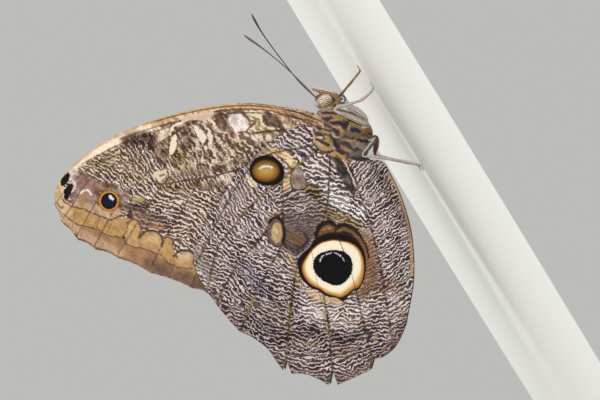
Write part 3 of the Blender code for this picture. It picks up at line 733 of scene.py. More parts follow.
def painted(plan, wing, veins, vein_wash):
    """The values that the wing material reads, for plan points in mm.

    wing is (ground, comb, washes, blots, eyespots, glints, lines over them all). A wash is (name, points,
    width, softness in points, pale, dark, balance, calm, strength), a blot (name, points, width, colour,
    strength), an eyespot (attribute, nested outlines from the outside in), a glint or a line (name, points,
    width). vein_wash is (reach in mm, pale, dark, balance, calm, strength). A balance above 0 makes more of
    the ripple pale. A calm of 1 leaves no ripple, only a soft mottle.
    """
    ground, comb, washes, blots, eyespots, glints, over = wing
    pale, dark, mark = [flat_tone(tint, len(plan)) for tint in (ground[0], ground[1], ground[1])]
    balance, calm = np.full(len(plan), ground[2]), np.zeros(len(plan))
    moved = wobbled(plan, (2.2, 2.4), 3, 0.12)
    layers = []
    for _, points, width, soft, *looks, strength in washes:
        inside = depth(moved, points, width) / (soft * MM_PER_POINT)
        layers.append((strength * smooth01(inside + 0.5), looks))
    near = np.min([line_distance(plan, smooth_path(v, 4)) for v in veins.values()], axis=0)
    reach, *looks, strength = vein_wash
    layers.append((np.exp(-(near / reach)**2) * strength, looks))
    for amount, (light, deep, share, still) in layers:
        pale, dark = toward(pale, light, amount), toward(dark, deep, amount)
        balance += amount * (share - balance)
        calm += amount * (still - calm)
    cover = np.full(len(plan), -2.0)
    for _, points, width, tint, strength in blots:
        inside = depth(moved, points, width)
        taken = (inside > cover) | (inside > 0.0)
        mark[taken] = np.array(colour(tint)[:3] + (strength,))
        cover = np.maximum(cover, inside)
    turn, spacing = ripple_field(plan, comb)
    values = {"plan": np.column_stack([plan, np.zeros(len(plan))]), "pale": pale, "dark": dark,
              "balance": balance, "swing": 1.0 - calm, "mark": mark, "cover": cover, "turn": turn,
              "rate": RIPPLE_CELL / spacing}
    for attribute, lines in (("glint", glints), ("over", over)):
        values[attribute] = np.max([depth(plan, points, width) for _, points, width in lines], axis=0)
    for attribute, outlines in eyespots:
        values[attribute] = level_of(plan, outlines)
    return values


# %% [markdown]
# ## Scales on a wing
# Real wing scales are overlapping chitin tiles about 0.1 mm long, laid like roof slates. From a step away
# they read as a soft powder with a faint satin sheen. A Gabor texture draws the ripple: it is made of many
# short wave packets, so its lines fork and end as the real ones do. The blot's edge is moved by the ripple,
# because real blots are places where dark lines have run together.


# %% The wing material
def wing_scales(name, eyespots):
    """Powdery scales over a membrane.

    An eyespot is (attribute, number of outlines, stops from the rim to the middle on the attribute's scale).
    """
    m = Recipe(name)
    plan = m.read("plan", "Vector")
    centred = m.vector("SUBTRACT", m.noise(plan, 0.6, 2.0, 0.62, "Color"), (0.5, 0.5, 0.5))
    swayed = m.vector("MULTIPLY_ADD", centred, (2.6, 2.6, 2.6), plan)
    packets = {"Vector": swayed, "Scale": 1.0 / RIPPLE_CELL, "Frequency": m.read("rate"), "Anisotropy": 1.0,
               "Orientation": m.read("turn")}
    ripple = node(m.material, "TexGabor", packets, gabor_type="2D")
    angle = m.maths("MULTIPLY", ripple.outputs["Phase"], 2.0 * math.pi)
    wave = m.maths("COSINE", angle)
    crest = m.maths("MULTIPLY_ADD", m.maths("COSINE", m.maths("MULTIPLY", angle, 2.0)), 0.4, wave)
    grain, cloud, dust = m.noise(plan, 2.4, 3.0, 0.6), m.noise(plan, 0.26, 2.0), m.noise(plan, 7.0, 2.0)

    swing = m.read("swing")
    strong = m.maths("MULTIPLY", swing, m.ranged(cloud, 0.35, 0.65, 1.15, 0.7))
    rough_wave = m.maths("MULTIPLY_ADD", grain, 2.6, m.maths("MULTIPLY", crest, strong))
    cloudy = m.maths("MULTIPLY_ADD", cloud, 1.4, rough_wave)
    marble = m.noise(m.vector("MULTIPLY", swayed, (0.4, 0.9, 1.0)), 1.0, 1.0)
    stilled = m.maths("MULTIPLY", m.maths("SUBTRACT", 1.0, swing), m.ranged(swing, 0.0, 0.2, 2.0, 11.0))
    cloudy = m.maths("MULTIPLY_ADD", m.maths("ADD", marble, -0.5), stilled, cloudy)
    stripe = m.ranged(m.maths("ADD", cloudy, m.read("balance")), 0.8, 3.3, kind="SMOOTHSTEP")
    tone = m.mix(m.maths("POWER", stripe, 1.6), m.read("dark", "Color"), m.read("pale", "Color"))

    frayed = m.maths("MULTIPLY_ADD", grain, 0.6, m.maths("MULTIPLY_ADD", wave, 0.06, m.read("cover")))
    edge = m.ranged(frayed, 0.2, 0.38, kind="SMOOTHSTEP")
    tone = m.mix(m.maths("MULTIPLY", edge, m.read("mark", "Alpha")), tone, m.read("mark", "Color"))
    for attribute, reach, tints in eyespots:
        worn = m.maths("MULTIPLY_ADD", grain, 0.4, m.read(attribute))
        ramp = node(m.material, "ValToRGB", {0: m.ranged(worn, 0.2, reach + 0.2)})
        while len(ramp.color_ramp.elements) < len(tints):
            ramp.color_ramp.elements.new(0.5)
        for element, (place, tint) in zip(ramp.color_ramp.elements, tints):
            element.position, element.color = place / reach, colour(tint)
        tone = m.mix(m.ranged(worn, 0.15, 0.35), tone, ramp.outputs["Color"])
    tone = m.mix(m.ranged(m.read("over"), -0.06, 0.06, 0.0, 0.8), tone, colour("33261c"))
    broken = m.maths("MULTIPLY_ADD", grain, 1.2, m.read("glint"))
    tone = m.mix(m.ranged(broken, 0.5, 0.75, 0.0, 0.9), tone, colour("e6e2f2"))
    powder = m.mix(1.0, tone, m.ranged(dust, 0.3, 0.7, 0.82, 1.16), blend_type="MULTIPLY")
    relief = m.maths("MULTIPLY_ADD", wave, 0.4, dust)
    return m.finish(powder, relief, 0.25, 0.00005, Roughness=0.62, IOR=CHITIN_IOR, Specular_IOR_Level=0.08,
                    Sheen_Weight=0.02, Sheen_Roughness=0.4)


HIND_SCALES = wing_scales("wing_scales_hindwing", [
    ("great", 4.0, stops("0 3a2418, 0.35 15100e, 0.85 120d0b, 1 66401e, 1.25 b27b3a, 1.7 deb67a, 1.92 efdfbf,"
                         "2.4 f4e9d4, 2.96 eee1c8, 3 08090c, 4 06070b")),
    ("amber", 2.0, stops("0 3a2414, 0.3 140d0a, 0.85 1a0f09, 1 503112, 1.2 7c5523, 1.5 a27936, 2 c2994d"))])
FORE_SCALES = wing_scales("wing_scales_forewing", [
    ("small", 2.0, stops("0 6b4728, 0.3 a06a2e, 0.75 cf9445, 0.96 8a5e2c, 1 101119, 2 161b2b"))])
print("wing materials:", HIND_SCALES.name, FORE_SCALES.name)

# %% [markdown]
# ## The forewing's underside
# Most of the forewing is a cream and brown ripple. Its leading edge is a tan band, its outer third is banded
# in buff, and near the tip it carries a small eyespot with two black dots. The lists were read one by one, so
# each entry has a plain name. Places are picture points, because that is how they were read.

# %% Forewing: ripple, washes and blots
FORE_GROUND = ("ecd4c8", "43302a", 0.0)
FORE_COMB = numbers("""
    110 157 -8 3.6, 110 148 -10 3.6, 125 150 -45 3.6, 140 155 -60 3.8, 155 155 -62 3.6, 110 172 -40 3.6,
    130 180 -48 3.8, 150 190 -38 3.9, 165 200 -25 3.9, 165 210 -10 4, 180 200 -22 3.9, 200 205 -28 4,
    215 200 -40 4, 190 220 -30 4.2, 200 230 -38 4, 180 232 -2 3.8, 200 242 -45 3.8, 212 216 -50 4,
    185 150 -65 4.6, 210 150 -58 5.4, 235 150 -50 5.4, 225 165 -58 4.8, 260 140 -35 5.4, 285 135 -40 4.2,
    205 270 -45 3.6, 205 285 -20 3.6, 180 245 -30 3.6, 140 205 -20 3.6, 90 170 -35 3.4, 150 165 -62 3.8,
    175 175 -60 3.8, 195 170 -66 3.8, 240 120 -60 4.4, 280 118 -60 4.4, 120 163 -30 3.8""")
FORE_WASHES = table("""
olive brown near the tip: 96 160, 118 160, 138 174 | 26 16 dcc0a0 4f3826 -0.05 0.1 0.7
cream strip below the leading edge: 76 165, 92 154, 112 143, 134 132, 158 124 | 8 3 fdf0df d8b996 0.55 1 1
tan beyond the strip: 154 124, 168 119, 184 114.6 | 7 3 dcba96 b58e68 0.3 1 0.95
cream by the cloud: 154 130, 168 128, 171 136, 160 143, 153 147, 157 138 | 0 3 efdcc6 b3957a 0.6 0.9 0.95
cream along the cell: 176 121, 192 117, 212 112 | 8 4 ead2bb a07c60 0.6 0.8 0.9
marbled middle: 176 124, 196 118, 218 112, 240 108, 276 110, 296 124, 284 138, 262 146, 244 164, 222 172,
    198 176, 178 176, 168 168, 164 150, 168 136 | 0 8 ead1bc 573d30 -0.05 0.55 0.92
cream of the cell: 198 122, 214 122, 226 132, 232 134, 246 133, 262 136,
    280 136 | 10 6 ecd6c0 7d5c48 0.3 0.8 0.6
brown behind the ovals: 182 131, 192 132, 194 146, 184 150 | 0 6 9c7f72 4a302a -0.1 0.7 0.85
brown triangle: 152 150, 168 139, 170 158, 158 164 | 0 4 a88c7a 3f2a22 -0.1 0.7 0.85
mauve brown of the cell: 214 120, 218 113, 227 115, 229 122, 218 124 | 0 3 8a6d65 4e3630 0 0.8 0.9
lilac field of the cell: 229 115, 236 113, 245 116, 249 122, 246 129, 238 132,
    230 127 | 0 3 f4eae6 b7a4a8 0.45 0.95 0.97
cream patch of the cell: 244 112, 260 112, 264 126, 276 126, 274 131, 256 131,
    250 121 | 0 2.5 ead6b6 8f7a58 0.3 0.85 0.92
cream diagonal: 274 112, 282 118, 290 128 | 7 3 e8d2ba a3805f 0.5 0.9 0.9
tan leading edge: 60 182, 74 161, 100 141, 130 126, 162 115, 200 108, 232 105, 262 106, 292 112,
    316 120 | 8 2.5 e0be98 bd9368 0.4 1 1
olive speckles: 174 152, 184 157 | 10 7 b8a04e 3f2c18 0.1 0.6 0.75
olive speckles 2: 178 166, 188 168 | 7 6 bca563 4a351c 0.1 0.6 0.6
olive speckles 3: 160 187, 182 188, 198 184 | 6 6 bd9f62 3d2a18 0 0.4 0.7
olive speckles 4: 228 142, 244 144 | 6 6 b8a268 3d2a18 0.1 0.7 0.65
olive speckles 5: 134 199, 143 201 | 6 5 b89e4c 4a3820 0.1 0.6 0.75
brown by the cell's end: 192 185, 206 187, 222 184 | 7 5 a07c5c 3d2818 0 0.5 0.8
dark beyond the eyespot: 120 204, 130 207, 146 207 | 8 6 8a7064 2b1d1a -0.1 0.3 0.85
dark beyond the eyespot 2: 130 208, 131 220 | 7 5 7d6455 3d2b24 0 0.6 0.85
dark above the arches: 146 214, 158 218, 166 225 | 9 7 8c7470 34232a -0.1 0 0.8
tan between the clouds: 136 212, 140 226 | 6 5 b79a80 6f5444 0.3 0.7 0.7
dark cloud near the tip: 128 141, 140 138, 151 141 | 14 8 866a5f 2e1e1a -0.15 0.45 0.88
tan stripes of the root: 286 110, 300 115, 320 123 | 12 5 cda98a 8b6450 0.3 0.95 0.95
mauve above the long vein: 168 178, 185 175, 205 173 | 9 8 b89a8e 704f44 0 0 0.75
cream by the vein's end: 222 177, 230 174, 228 182 | 6 4 eedccd a08676 0.7 0 0.8
mauve grey field of the tip: 70 204, 74 184, 80 170, 92 178, 104 184, 106 192, 98 200, 96 210,
    84 207 | 0 5 a88c82 765850 0.3 1 0.95
rosy part of the field: 80 182, 94 184 | 9 7 a87a6e 7a5348 0.3 1 0.8
pale edge of the field: 72 172, 74 180 | 7 6 c9b7ad 9f897e 0.3 1 0.8
brown round the small eyespot: 98 184, 108 182, 118 186, 123 196, 120 208, 108 214, 98 208,
    95 196 | 0 6 9a7c68 5c4232 0.2 0.8 0.9
buff below the small eyespot: 76 206, 92 208, 106 213, 118 212 | 8 4 c8a884 a5856a 0.3 1 0.9
buff margin: 57 186, 64 200, 72 206, 86 210, 100 216, 111 220, 118 217, 127 218, 134 219, 140 222, 142 234,
    151 231, 162 238, 171 238, 175 254, 186 252, 194 253, 197 268, 204 285, 196 292, 180 286, 150 274,
    120 259, 90 243, 65 222, 54 196 | 0 1.4 c7a074 9f784e 0.2 1 1
tan outer tier: 64 212, 75 223, 84 226, 100 230, 107 235, 121 238, 134 247, 145 249, 155 253, 165 260,
    178 268, 190 270, 200 282, 196 292, 180 287, 150 275, 120 260, 90 244,
    66 224 | 0 1.4 b08a68 866348 0.2 1 1
golden first cells: 70 214, 86 221, 104 228, 118 230 | 7 5 cfa765 96703a 0.3 1 0.6
golden cells: 130 228, 136 236 | 8 5 dfbf8c b0874e 0.3 1 0.7
pale round cell: 146 240, 156 240 | 8 6 e2c69c bd945e 0.3 1 0.8
golden cells 2: 163 244, 170 256 | 7 5 d0ab78 a27a48 0.3 1 0.7
buff rim of the tip: 60 178, 58.5 186, 59.5 196, 62 205, 68 213 | 9 3 dcc09a b89a6e 0.3 1 0.95
light outer tier: 66 219, 80 232, 100 244, 120 254 | 9 5 d0ab8c ab866a 0.3 1 0.8
mauve end of the margin: 152 264, 170 274, 190 281, 202 286 | 14 10 86695a 5c4338 0.2 1 0.95
pale last cell: 180 259, 190 257 | 8 5 e0c8a6 b8946c 0.3 1 0.8
orange tint above the arch: 150 224, 161 227 | 6 4 b98f5c 7c5735 0.1 0 0.85
brown above the arch: 140 214, 150 220, 146 226 | 9 6 a48674 5e453a -0.1 0 0.8
""")
FORE_BLOTS = table("""
dark blotch of the cell: 263 117, 268 113, 277 116, 283 124, 284 129, 276 127, 268 125 | 0 4f3a2e 0.85
its paler middle: 270 120, 277 124 | 3 75604e 0.8
line below the blotch: 284 130, 270 131, 256 133 | 1.8 4a3429 0.9
blackest of the cloud: 143 136, 151 137, 150 148 | 4 2e1e1c 0.7
dark mottle of the cell: 218 116, 223 126, 231 131 | 7 553e36 0.7
outline of the lilac field: 236 111, 244 114, 249 120, 255 122, 250 127, 246 131, 238 133 | 1.7 6a4836 0.92
line under the tan edge: 160 126, 178 121.5, 200 115, 216 111.5, 240 109, 266 110, 290 116,
    306 122 | 1.5 6d452e 0.92
line of the cream strip: 74 166, 92 151.4, 112 139.4, 134 128.6, 156 121 | 0.9 c0926a 0.8
second line of the edge: 205 109, 232 106.5, 262 107, 290 113, 312 121 | 0.9 8f6243 0.8
dark lines of the root: 288 110, 300 113, 320 121 | 1.4 4a302c 0.85
dark line of the root 2: 292 115, 304 121, 322 129 | 1.6 46302e 0.85
cell vein: 245 168, 230 171, 213 177, 200 179, 180 181, 165 184 | 1 4a3020 0.85
outer line of the edge: 66 168, 84 152, 110 136, 140 122, 165 114, 200 106, 240 102.5,
    290 108 | 1.2 8d6240 0.85
pale strip under the edge: 177 120.6, 188 116, 202 112.6, 213 111.6, 212.6 116, 206 120.6, 196 120, 186 121.4,
    180 124 | 0 dcc3ad 0.8
pale oval: 173 134.6, 177 136.6, 176.6 146, 172 154.6, 169.4 152.6, 170 143 | 0 eedcca 0.97
oval's dark side: 177.5 137, 177 147, 172 156 | 1.4 513a30 0.85
second pale oval: 193.4 127, 198 127, 204.6 133.6, 205.4 141, 201.4 142.8, 197.4 136 | 0 eadaca 0.96
its dark side: 199 125, 206.6 132, 208 141, 204 145 | 1.8 523a2e 0.9
third pale oval: 209.4 133.6, 210.6 139.6 | 4.4 e6d3c2 0.95
its own dark side: 213 131, 214.4 141 | 1.8 4c362c 0.9
cream blob: 152.6 175, 155 171.6, 160 170.8, 165.6 169.8, 166.6 174.4, 163.6 178.6, 160.4 182,
    156.4 179.8 | 0 dfcaac 0.95
olive middle of the blob: 160 176, 164 174.6 | 2.6 8f7a50 0.85
dark shade of the blob: 151 178, 156 183, 163 184, 168.6 178 | 1.8 5a4336 0.85
pale arc: 171 131, 173 126, 182 123 | 2.6 efe0cf 0.9
dark line of the arc: 169 132, 171 124.5, 181 121 | 1.2 584034 0.8
cross vein shadow: 158 150, 171 137, 180 129, 190 121 | 1.1 6a5040 0.8
dark by the cell's end: 226 188, 222 195 | 4 3b2a30 0.7
dark by the folded edge: 221 200, 219 216 | 3.4 3a2b2c 0.6
first wavy line: 62 200, 71 206, 79 208, 86 210, 92 213, 100 216, 107 219, 111 220, 118 217,
    126 215 | 1.3 60402a 0.9
second wavy line: 64 214, 75 223, 84 226, 92 228, 100 230, 107 235, 121 238, 127 244, 134 247, 145 249,
    155 253, 162 256, 168 263, 178 267, 192 269 | 1.3 64452c 0.85
arch over the golden cell: 127 228, 129 221.5, 134 219.5, 139 222, 141 230, 139 237 | 1.4 5c4030 0.85
arch over the round cell: 138 238, 144 233, 151 230.5, 158 232.5, 162 238, 162 246 | 1.9 4b3427 0.92
arch over the third cell: 162 239, 168 237, 173 241, 176 250, 177 258 | 1.4 5a4030 0.85
side of the golden cell: 127 222, 127 230, 122 238 | 1.3 6b4a32 0.8
arch over the last cell: 174 256, 180 251, 190 251, 194 254 | 2.2 3a2a26 0.85
side of the last cell: 194.5 254, 194 262, 196 270, 200 282 | 1.4 5e4437 0.85
margin vein: 77 205, 72 228 | 0.9 84603c 0.8
margin vein 2: 89 212, 81 236 | 0.9 84603c 0.8
margin vein 3: 100 217, 93 240 | 0.9 84603c 0.8
margin vein 4: 112 221, 102 247 | 0.9 84603c 0.8
margin vein 5: 122 236, 118 253 | 0.9 84603c 0.8
margin vein 6: 135 247, 130 259 | 0.9 84603c 0.8
margin vein 7: 152 252, 148 270 | 0.9 84603c 0.8
margin vein 8: 173 264, 170 280 | 0.9 6a4a34 0.8
white arc by the dot: 70 171.4, 72.2 172.6, 71.6 177, 69 181.6 | 1.4 ddd0d6 0.85
white arc by the second dot: 71.8 181.8, 75 183, 75 188, 72.6 192 | 1.5 ddd0d2 0.85
black dot at the tip: 60.5 183, 62 178.5, 65.4 174, 68.6 172.6, 69.8 175.6, 68 180.6, 65 184.8,
    62 186 | 0 15100f 1
second black dot: 64 196, 64 191, 67 187, 71 184, 73 185, 72.4 189, 70.4 194, 68.4 198.4,
    65.6 199 | 0 15100f 1
ochre drop: 82 193, 88 191, 88 198, 83 207, 78 206, 79 200 | 0 a67c58 0.7
white arc of the drop: 81 193, 84 190.5, 89 191, 92 195 | 1.5 ecdfd2 0.92
taupe cell by the eyespot: 121 197, 124 190, 128 191, 130 198, 126 202 | 0 95796c 0.5
dot in the margin: oval 124 237.5 1.3 1.5 | 0 4a2326 0.95
notch of the tip: 57 203, 60 207, 63 207 | 2.2 7a5a48 0.8
""")
FORE_EYESPOTS = [("small", [oval(109, 201, 10.8, 10.6), oval(109, 201, 8.1, 8.2)])]
FORE_GLINTS = table("glint of the small eyespot: 110 196.5, 112.5 199 | 3")
FORE_OVER = table("vein over the small eyespot: 131 184, 109 215 | 0.6")

# %% [markdown]
# ## The hindwing's underside
# The hindwing carries what the insect is named for: a large eyespot like an owl's eye. Its black middle sits
# in a cream ring that warms to orange at its rim, and a black ring closes it. A smaller amber one lies near
# the leading edge. The ripple is finest here, and it breaks into chevrons between the veins towards the tail.

# %% Hindwing: ripple, washes and blots
HIND_GROUND = ("e2d0ce", "372828", 0.0)
HIND_COMB = numbers("""
    235 200 -62 3.7, 250 210 -52 3.8, 210 195 -30 3.8, 225 220 -50 3.8, 240 220 -60 3.7, 255 225 -55 3.7,
    230 240 -35 3.8, 245 245 -32 3.8, 260 245 -50 3.8, 255 255 -25 3.8, 265 262 -12 3.8, 280 268 -30 3.8,
    285 275 -15 3.8, 270 280 -25 3.8, 245 275 -50 3.6, 220 272 -15 3.8, 215 285 -25 3.6, 262 290 -30 3.8,
    280 290 -10 3.8, 232 290 -50 3.8, 295 290 -30 3.8, 290 205 0 4.2, 300 195 20 4.2, 265 200 -50 4.2,
    285 195 32 4.2, 225 300 -40 3.8, 240 300 -40 3.8, 235 311 -10 3.6, 250 310 -55 3.6, 262 302 -20 3.8,
    270 292 -30 3.8, 265 312 -35 3.8, 275 300 -25 3.8, 270 320 -20 3.8, 255 325 -50 3.6, 262 335 -20 3.6,
    275 335 0 3.8, 260 345 -30 3.6, 300 300 -20 3.8, 296 310 -35 3.8, 311 300 15 3.8, 300 320 25 3.8,
    311 320 -25 3.8, 300 332 -10 4, 300 345 -40 4, 315 345 40 4, 300 354 -5 4, 300 364 -30 4, 312 362 10 4,
    300 371 0 3.4, 280 345 -20 3.8, 240 325 -20 3.4, 330 310 -12 3.9, 338 314 32 3.9, 347 316 -32 3.9,
    360 315 0 3.9, 350 330 0 4, 375 310 12 3.9, 385 316 10 3.9, 395 287 38 3.5, 400 302 40 3.5,
    405 275 44 3.5, 390 300 20 4, 370 321 10 3.9, 385 335 -8 3.9, 395 335 32 3.7, 345 350 10 3.9,
    350 362 40 3.8, 340 371 -12 3.6, 325 362 14 3.8, 360 352 20 3.8, 320 351 0 3.8, 385 350 30 3.6,
    375 190 50 3.4, 395 215 40 3.3, 400 250 34 3.3, 405 270 38 3.4, 360 180 54 3.4, 385 240 34 3.2,
    380 265 32 3.3, 315 158 -40 5, 320 180 0 5, 340 195 -8 4.8, 345 207 -25 4.4, 355 212 -40 4.4,
    310 170 -20 5, 325 165 -35 5, 300 225 5 3.6, 340 225 -10 3.2, 372 275 25 3.4, 230 180 -62 3.8,
    300 260 -35 3.8, 290 245 -35 3.8""")
# The dark spindle beside the body, in the washes below, is painted shade: the trough between the flat hindwing
# and its swelling round the abdomen. The orange brown over its top is the wing's own colour.
HIND_WASHES = table("""
grey mauve of the leading part: 226 215, 234 200, 244 190 | 16 12 cdbab2 6f5e5b 0.05 0 0.6
faded margin by the leading edge: 198 252, 204 262, 212 276 | 12 10 ab9890 6f5f5a 0.1 0 0.75
purple brown of the outer margin: 212 296, 240 331, 270 356, 300 374, 340 380, 372 364, 396 342,
    407 320 | 14 12 a58e8a 402c2d -0.3 0 0.8
dull outer and lower part: 262 312, 290 326, 320 332, 350 334 | 60 24 c8b6b7 2a1b1e -0.25 0 0.8
pale below the great eyespot: 312 312, 338 318, 358 312 | 18 16 f4e6e2 4a3634 0.6 0 0.85
pale columns of the lower part: 304 296, 302 318 | 10 12 e9dade 2b2026 0.05 0 0.7
pale beside the fold: 372 300, 392 296 | 16 14 e9d9d8 3b2a29 0.2 0 0.7
dark cloud of the outer part: 238 264, 250 273, 262 290 | 13 12 c3b4c0 2a2330 -0.4 0 0.75
navy by the tail: 299 328, 307 332, 314 326 | 8 8 b7a6b0 251e2a -0.6 0 0.75
tan ripple by the tail: 296 340, 306 343, 316 342 | 8 9 c9ad96 4f382a 0.1 0 0.65
dark chevron: 333 334, 345 342, 357 336 | 6 7 b9a6a8 1f181e -0.9 0 0.85
tan below the chevron: 334 349, 346 353, 356 350 | 8 10 b59c8a 4c352a -0.1 0 0.6
pinkish tan of the lower part: 350 320, 358 326, 364 322 | 10 11 cfb4a6 553e34 0.1 0 0.6
pinkish tan of the outer part: 258 306, 270 312, 279 318 | 12 12 cdb6ac 4c3832 0 0 0.6
rust by the fold: 380 288, 392 284, 400 290 | 10 10 a98068 54341f -0.1 0 0.8
dark outer ripple: 262 322, 276 336, 290 344 | 12 12 b5a3a3 261a1d -0.45 0 0.7
pale tail ripple: 296 356, 306 362, 314 358 | 8 8 ddced0 3a2729 0.1 0 0.75
dark band before the tail: 284 328, 292 334, 320 336, 326 340 | 7 8 c0abaa 241a1f -0.45 0 0.6
white ripple near the root: 330 190, 342 204, 358 214 | 15 12 faf1f2 2b2326 0.25 0 0.85
white ripple by the cell: 296 160, 312 172, 318 184 | 14 10 efe3de 352a2a 0 0 0.7
lines of the inner part: 384 178, 398 200, 406 222 | 18 14 cdb6ac 36282a -0.15 0 0.7
tan halo of the small oval: 266 224, 270 217, 277 213, 283 217 | 4 5 a58a68 6a4f38 0.2 0 0.85
grey mauve beside the great eyespot: 284 214, 300 209, 316 208, 323 214, 322 224, 315 237, 309 246, 298 256.5,
    291 251, 285 243, 283 230 | 0 5 8c7975 4f4143 0 0.2 0.95
brown middle of the fan: 290 228, 300 232, 310 232 | 10 8 77645c 45362f 0.1 0.3 0.85
purple black beside the great eyespot: 287 246, 296 251, 303 247 | 9 6 5b4b50 2c2128 0.3 0.3 0.92
ochre speckle above the great eyespot: 324 210, 334 215, 346 219, 358 228 | 10 8 b0975c 4a3522 -0.1 0 0.85
brown beyond the great eyespot: 366 236, 371 258, 371 280, 364 292 | 11 8 a27f62 6a4831 0.2 0.2 0.9
rust brown further out: 362 294, 370 286, 376 272 | 12 12 8f6a50 4d3125 -0.1 0 0.6
olive by the lower veins: 253 299, 248 311 | 5 4 c9b27c 4a3b20 0.1 0 0.7
more olive by the veins: 290 304, 288 330 | 5 4 c6ae78 4a3a20 0.1 0 0.7
last olive by the veins: 325 308, 328 336 | 5 4 c6ae7c 4a3a22 0.1 0 0.7
tan below the great eyespot: 310 293, 322 298, 338 302 | 7 5 d8bc98 a08462 0.6 0 0.85
ochre left of the great eyespot: 288 256, 293 264, 299 282 | 7 7 c3a277 6f5236 0.2 0 0.75
tan round the amber eyespot: 268 151, 282 154, 292 162, 294 174, 286 186 | 8 5 d9bb8c a8824f 0.5 0 0.85
cream beside the amber eyespot: 283 155, 290 158, 290 163, 284 163 | 4 4 f3e4be b99a62 0.75 0.1 0.85
cream below the amber eyespot: 248 178, 254 184 | 6 4 efe2c6 a98d5f 0.75 0.1 0.8
dark and olive patch: 304 186, 312 190, 318 197 | 10 5 a08a3a 2b2115 -0.3 0 0.9
brown above the amber eyespot: 244 167, 252 154, 262 148, 269 150, 258 157,
    250 165 | 0 4 8d7464 4d382d 0.55 0.65 0.85
taupe field: 293 170, 299 167, 304 174, 306 185, 300 189, 293 187 | 0 2 9d877b 6f5b52 0.3 1 0.95
pale top of the taupe field: 295 171, 300 174 | 5 4 b9aaa0 94837a 0.3 1 0.9
velvet beside the body: 333 156, 344 156.5, 351 168, 356 184, 354.6 198, 347 188, 339 174,
    334 164 | 0 3 6a5e54 332d2a -0.2 0.9 0.97
black of the velvet: 335.6 159, 340 166, 344 174 | 5 4 3a3a30 1f211c 0 0.9 0.8
brown grey above the fan: 287 196, 304 195, 324 200, 328 210, 318 217,
    290 214 | 0 8 b8a59d 43332f -0.15 0 0.75
orange brown over the velvet: 331 154, 345 156 | 5 3 b28356 6f4a2c 0.3 0 0.9
dark of the inner fold: 372 170, 392 200, 404 250, 406 290 | 22 14 e0d0cf 2c2323 -0.15 0 0.5
fur over the root: 312 117, 324 120, 332 127, 339 136, 347 147, 354 158, 346 162, 334 153, 332 143, 327 136,
    318 130, 308 124 | 0 2.5 a88a6c 5a453c 0.3 1 0.97
""")
